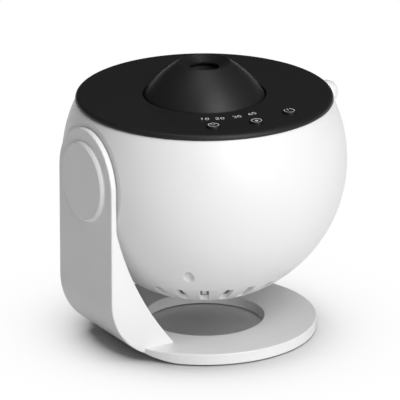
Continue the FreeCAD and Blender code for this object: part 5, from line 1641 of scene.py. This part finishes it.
    def build(self, finish: bpy.types.Material) -> None:
        """Makes the bowl.

        Args:
            finish: Its material.
        """
        skin = Skin()
        near, far = self.vent_belt
        lower, upper = [], []
        for radius, end in ((self.radius, self.well_belt),
                            (self.radius - self.wall, self.well_belt_inside)):
            skin.add(self.belt(radius, 0, near, self.middle_rows))
            lower.append(self.belt(radius, far, end, self.belt_rows))
            upper.append(self.side(radius, end))
        vent = self.vent()
        for turn in np.arange(self.vent_count) * math.tau / self.vent_count:
            spin = np.array([[math.cos(turn), math.sin(turn), 0],
                             [-math.sin(turn), math.cos(turn), 0], [0, 0, 1]])
            skin.add(vent @ spin, closed=True)
        holes = [(self.facet_block, (0, self.side_rows)),
                 (self.window_block, (self.window_row, self.side_rows)),
                 (self.jack_block, self.jack_rows)]
        for belt, side in zip(lower, upper):
            skin.add(belt, keep=self.kept(self.belt_rows, self.well_blocks()))
            skin.add(side, keep=self.kept(self.side_rows, holes))
        for grid in self.wells(*lower):
            skin.add(grid, closed=True)
        for patch, hole in zip((self.facet_patch, self.window_patch, self.jack_patch), holes):
            skin.add(patch(*(self.frame(side, *hole) for side in upper)), closed=True)
        skin.add(np.stack([upper[0][-1], upper[1][-1]]))
        bowl = skin.piece("bowl", "head", finish, sharp=30.0)
        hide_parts("bowl_shell")


@dataclass
class TrayKnob:
    """The ball on the film tray's front, as a smooth skin over the solid's ball."""

    radius: float = 6.4
    proud: float = 0.04              # how far the skin stands off the solid
    sunk_angle: float = 135.0        # how far round from its outer pole the skin runs
    rows: int = 36
    columns: int = 72

    def build(self, finish: bpy.types.Material) -> None:
        """Makes the knob, a ball whose axis is the bowl's normal, closed by a disc in the front.

        At an angle a from the outer pole, a ring of radius r sin a lies r cos a along the axis.

        Args:
            finish: Its material.
        """
        centre = np.array([span("tray_front", 0)[1] - self.radius, middle_of("tray_front", 1),
                           middle_of("tray_front", 2)])
        normal = unit(centre - (0, 0, PIVOT_HEIGHT))
        across = np.array([0.0, 1.0, 0.0])
        up = np.cross(normal, across)
        angle = np.radians(np.linspace(0, self.sunk_angle, self.rows + 1))
        profile = (self.radius + self.proud) * np.column_stack([np.sin(angle), np.cos(angle)])
        ball = turned(np.concatenate([profile, [(0, profile[-1, 1])]]), self.columns)
        skin = Skin()
        skin.add(centre + ball[..., :1] * across + ball[..., 1:2] * up + ball[..., 2:] * normal,
                 closed=True)
        knob = skin.piece("tray_knob", "tray", finish)


# ----------------------------------------------------------------------------------------------
# Stage: floor, light and camera
# ----------------------------------------------------------------------------------------------

class Reach(Enum):
    """What a lamp lights: the floor alone, or all but the floor."""

    FLOOR = "INCLUDE"
    OBJECT = "EXCLUDE"


@dataclass(frozen=True)
class Lamp:
    """A square soft lamp that points at the object."""

    name: str
    power: float                     # in watts
    size: float                      # its side, in metres
    place: tuple[float, float, float]   # in metres
    reach: Reach

    def hang(self, floor: bpy.types.Object) -> None:
        """Makes the lamp and sets what it lights.

        Args:
            floor: The floor.
        """
        data = bpy.data.lights.new(self.name, "AREA")
        data.energy = self.power
        data.shape = "SQUARE"
        data.size = self.size
        lamp = placed(self.name, data)
        lamp.location = self.place
        lamp.rotation_euler = Vector(self.place).to_track_quat("Z", "Y").to_euler()
        lit = bpy.data.collections.new(self.name + "_receivers")
        lit.objects.link(floor)
        lit.collection_objects[0].light_linking.link_state = self.reach.value
        lamp.light_linking.receiver_collection = lit


LAMPS = (
    Lamp("floor_wash", 13.0, 3.0, (-0.1, 0.0, 2.4), Reach.FLOOR),
    Lamp("floor_front", 26.0, 1.2, (0.6, -0.6, 2.4), Reach.FLOOR),
    Lamp("floor_back", 15.0, 1.2, (0.5, 1.0, 2.4), Reach.FLOOR),
    Lamp("top", 12.0, 1.2, (-0.1, -0.1, 2.4), Reach.OBJECT),
    Lamp("key", 22.5, 1.0, (0.1, -1.5, 1.9), Reach.OBJECT),
    Lamp("right", 28.5, 2.0, (0.4, -2.4, 0.9), Reach.OBJECT),
    Lamp("front", 18.0, 2.0, (-0.3, -2.4, 1.2), Reach.OBJECT),
)


@dataclass
class Studio:
    """A pale floor, soft lamps and the camera."""

    target_height: float = 67.54     # height on the ring's axis that the camera looks at
    azimuth: float = -30.0           # degrees round from looking along +Y
    elevation: float = 19.975
    distance: float = 3476.3
    lens: float = 574.5
    sensor: float = 36.0
    shift: Pair = (-0.0111, 0.0241)
    sight: float = 100.0             # how far the camera sees, in metres
    floor_half: float = 9000.0
    floor_colour: Colour = (0.93, 0.93, 0.93)
    floor_drift: float = 1.02        # how much paler the floor's clouds are
    floor_cloud_scale: float = 3.0   # in cycles per metre
    floor_roughness: float = 0.5
    white_start: float = 62.0        # where the floor starts turning white, and how gradually
    white_fade: float = 15.0
    world_strength: float = 0.055

    def camera(self) -> None:
        """Sets up the camera on a line from the target, back along the viewing angle."""
        around, up = math.radians(self.azimuth), math.radians(self.elevation)
        back = Vector((math.sin(around) * math.cos(up), -math.cos(around) * math.cos(up),
                       math.sin(up)))
        data = bpy.data.cameras.new("camera")
        data.lens = self.lens
        data.sensor_width = self.sensor
        data.shift_x, data.shift_y = self.shift
        data.clip_end = self.sight
        camera = placed("camera", data)
        camera.location = (Vector((0, 0, self.target_height)) + back * self.distance) * MM
        camera.rotation_euler = back.to_track_quat("Z", "Y").to_euler()
        bpy.context.scene.camera = camera

    def floor_finish(self) -> bpy.types.Material:
        """A matt floor that turns to plain white away from the object, to the eye alone.

        The white's share at a distance r from the middle is 1 - exp(-(r - start) / fade), and
        nothing before the start, so that the shadow under the object stays.

        Returns:
            The material.
        """
        graph = Graph(bpy.data.materials.new("floor"))
        matt = graph.node("ShaderNodeBsdfDiffuse", {
            0: graph.blend(graph.noise(self.floor_cloud_scale), self.floor_colour,
                           scaled(self.floor_colour, self.floor_drift)),
            1: self.floor_roughness})
        white = graph.node("ShaderNodeEmission", {0: (1, 1, 1, 1), 1: 1.0})
        path = graph.node("ShaderNodeLightPath").outputs
        seen = graph.maths("MAXIMUM", path["Is Camera Ray"], graph.maths(
            "MAXIMUM", path["Is Glossy Ray"], path["Is Transmission Ray"]))
        away = graph.maths("MAXIMUM", 0.0, graph.maths(
            "SUBTRACT", graph.from_axis(), self.white_start * MM))
        left = graph.maths("EXPONENT", graph.maths("DIVIDE", away, -self.white_fade * MM))
        share = graph.maths("MULTIPLY", seen, graph.maths("SUBTRACT", 1.0, left))
        mix = graph.node("ShaderNodeMixShader", {0: share, 1: matt.outputs[0], 2: white.outputs[0]})
        graph.node("ShaderNodeOutputMaterial", {0: mix.outputs[0]})
        return graph.owner

    def floor(self) -> bpy.types.Object:
        """Lays the floor, an even square at the table's height.

        Returns:
            The floor.
        """
        sides = np.linspace(-self.floor_half, self.floor_half, 3)
        x, y = np.meshgrid(sides, sides)
        skin = Skin()
        skin.add(np.stack([x, y, np.zeros_like(x)], axis=-1))
        mesh = skin.mesh("floor")
        mesh.materials.append(self.floor_finish())
        floor = placed("floor", mesh)
        return floor

    def world(self) -> None:
        """Fills the room with even light, white where it is seen directly or through glass."""
        graph = Graph(bpy.data.worlds.new("studio"))
        path = graph.node("ShaderNodeLightPath").outputs
        seen = graph.maths("MAXIMUM", path["Is Camera Ray"], path["Is Transmission Ray"])
        background = graph.node("ShaderNodeBackground", {
            0: (1, 1, 1, 1), 1: graph.between(seen, self.world_strength, 1.0, 0, 1)})
        graph.node("ShaderNodeOutputWorld", {0: background.outputs[0]})
        bpy.context.scene.world = graph.owner

    def build(self) -> None:
        """Sets up the plain view transform, camera, floor and light."""
        bpy.context.scene.view_settings.view_transform = "Standard"
        self.camera()
        floor = self.floor()
        self.world()
        for lamp in LAMPS:
            lamp.hang(floor)
        log.info("studio ready")


def dress_frame(materials: dict[str, bpy.types.Material]) -> None:
    """Gives every CAD node the finish of its slot in the record.

    Args:
        materials: The finished materials by slot.
    """
    for part in frame["record"]["subparts"]:
        node = frame["nodes"][part["node"]]
        node.data.materials.clear()
        node.data.materials.append(materials[part["material_slot"]])
        log.info("%s dressed as %s", part["node"], part["material_slot"])


def main() -> None:
    """Builds the studio, dresses the frame, and adds each sub-assembly's own pieces."""
    logging.basicConfig(level=logging.INFO, format="%(message)s")
    materials = {slot: finish.material() for slot, finish in FINISHES.items()}
    dress_frame(materials)
    Studio().build()
    FocusCone().build(materials["black_plate"])
    log.info("cone built")
    for mark in Mark:
        Button(mark).build(materials["button_black"], materials["print_white"])
        log.info("%s built", mark.value)
    LidMarks().build(materials["print_white"])
    log.info("lid marks built")
    for name, piece in (("pivot cap", PivotCap()), ("stand", Stand()), ("bowl", Bowl()),
                        ("tray knob", TrayKnob())):
        piece.build(materials["white_casing"])
        log.info("%s built", name)


if __name__ == "__main__":
    main()
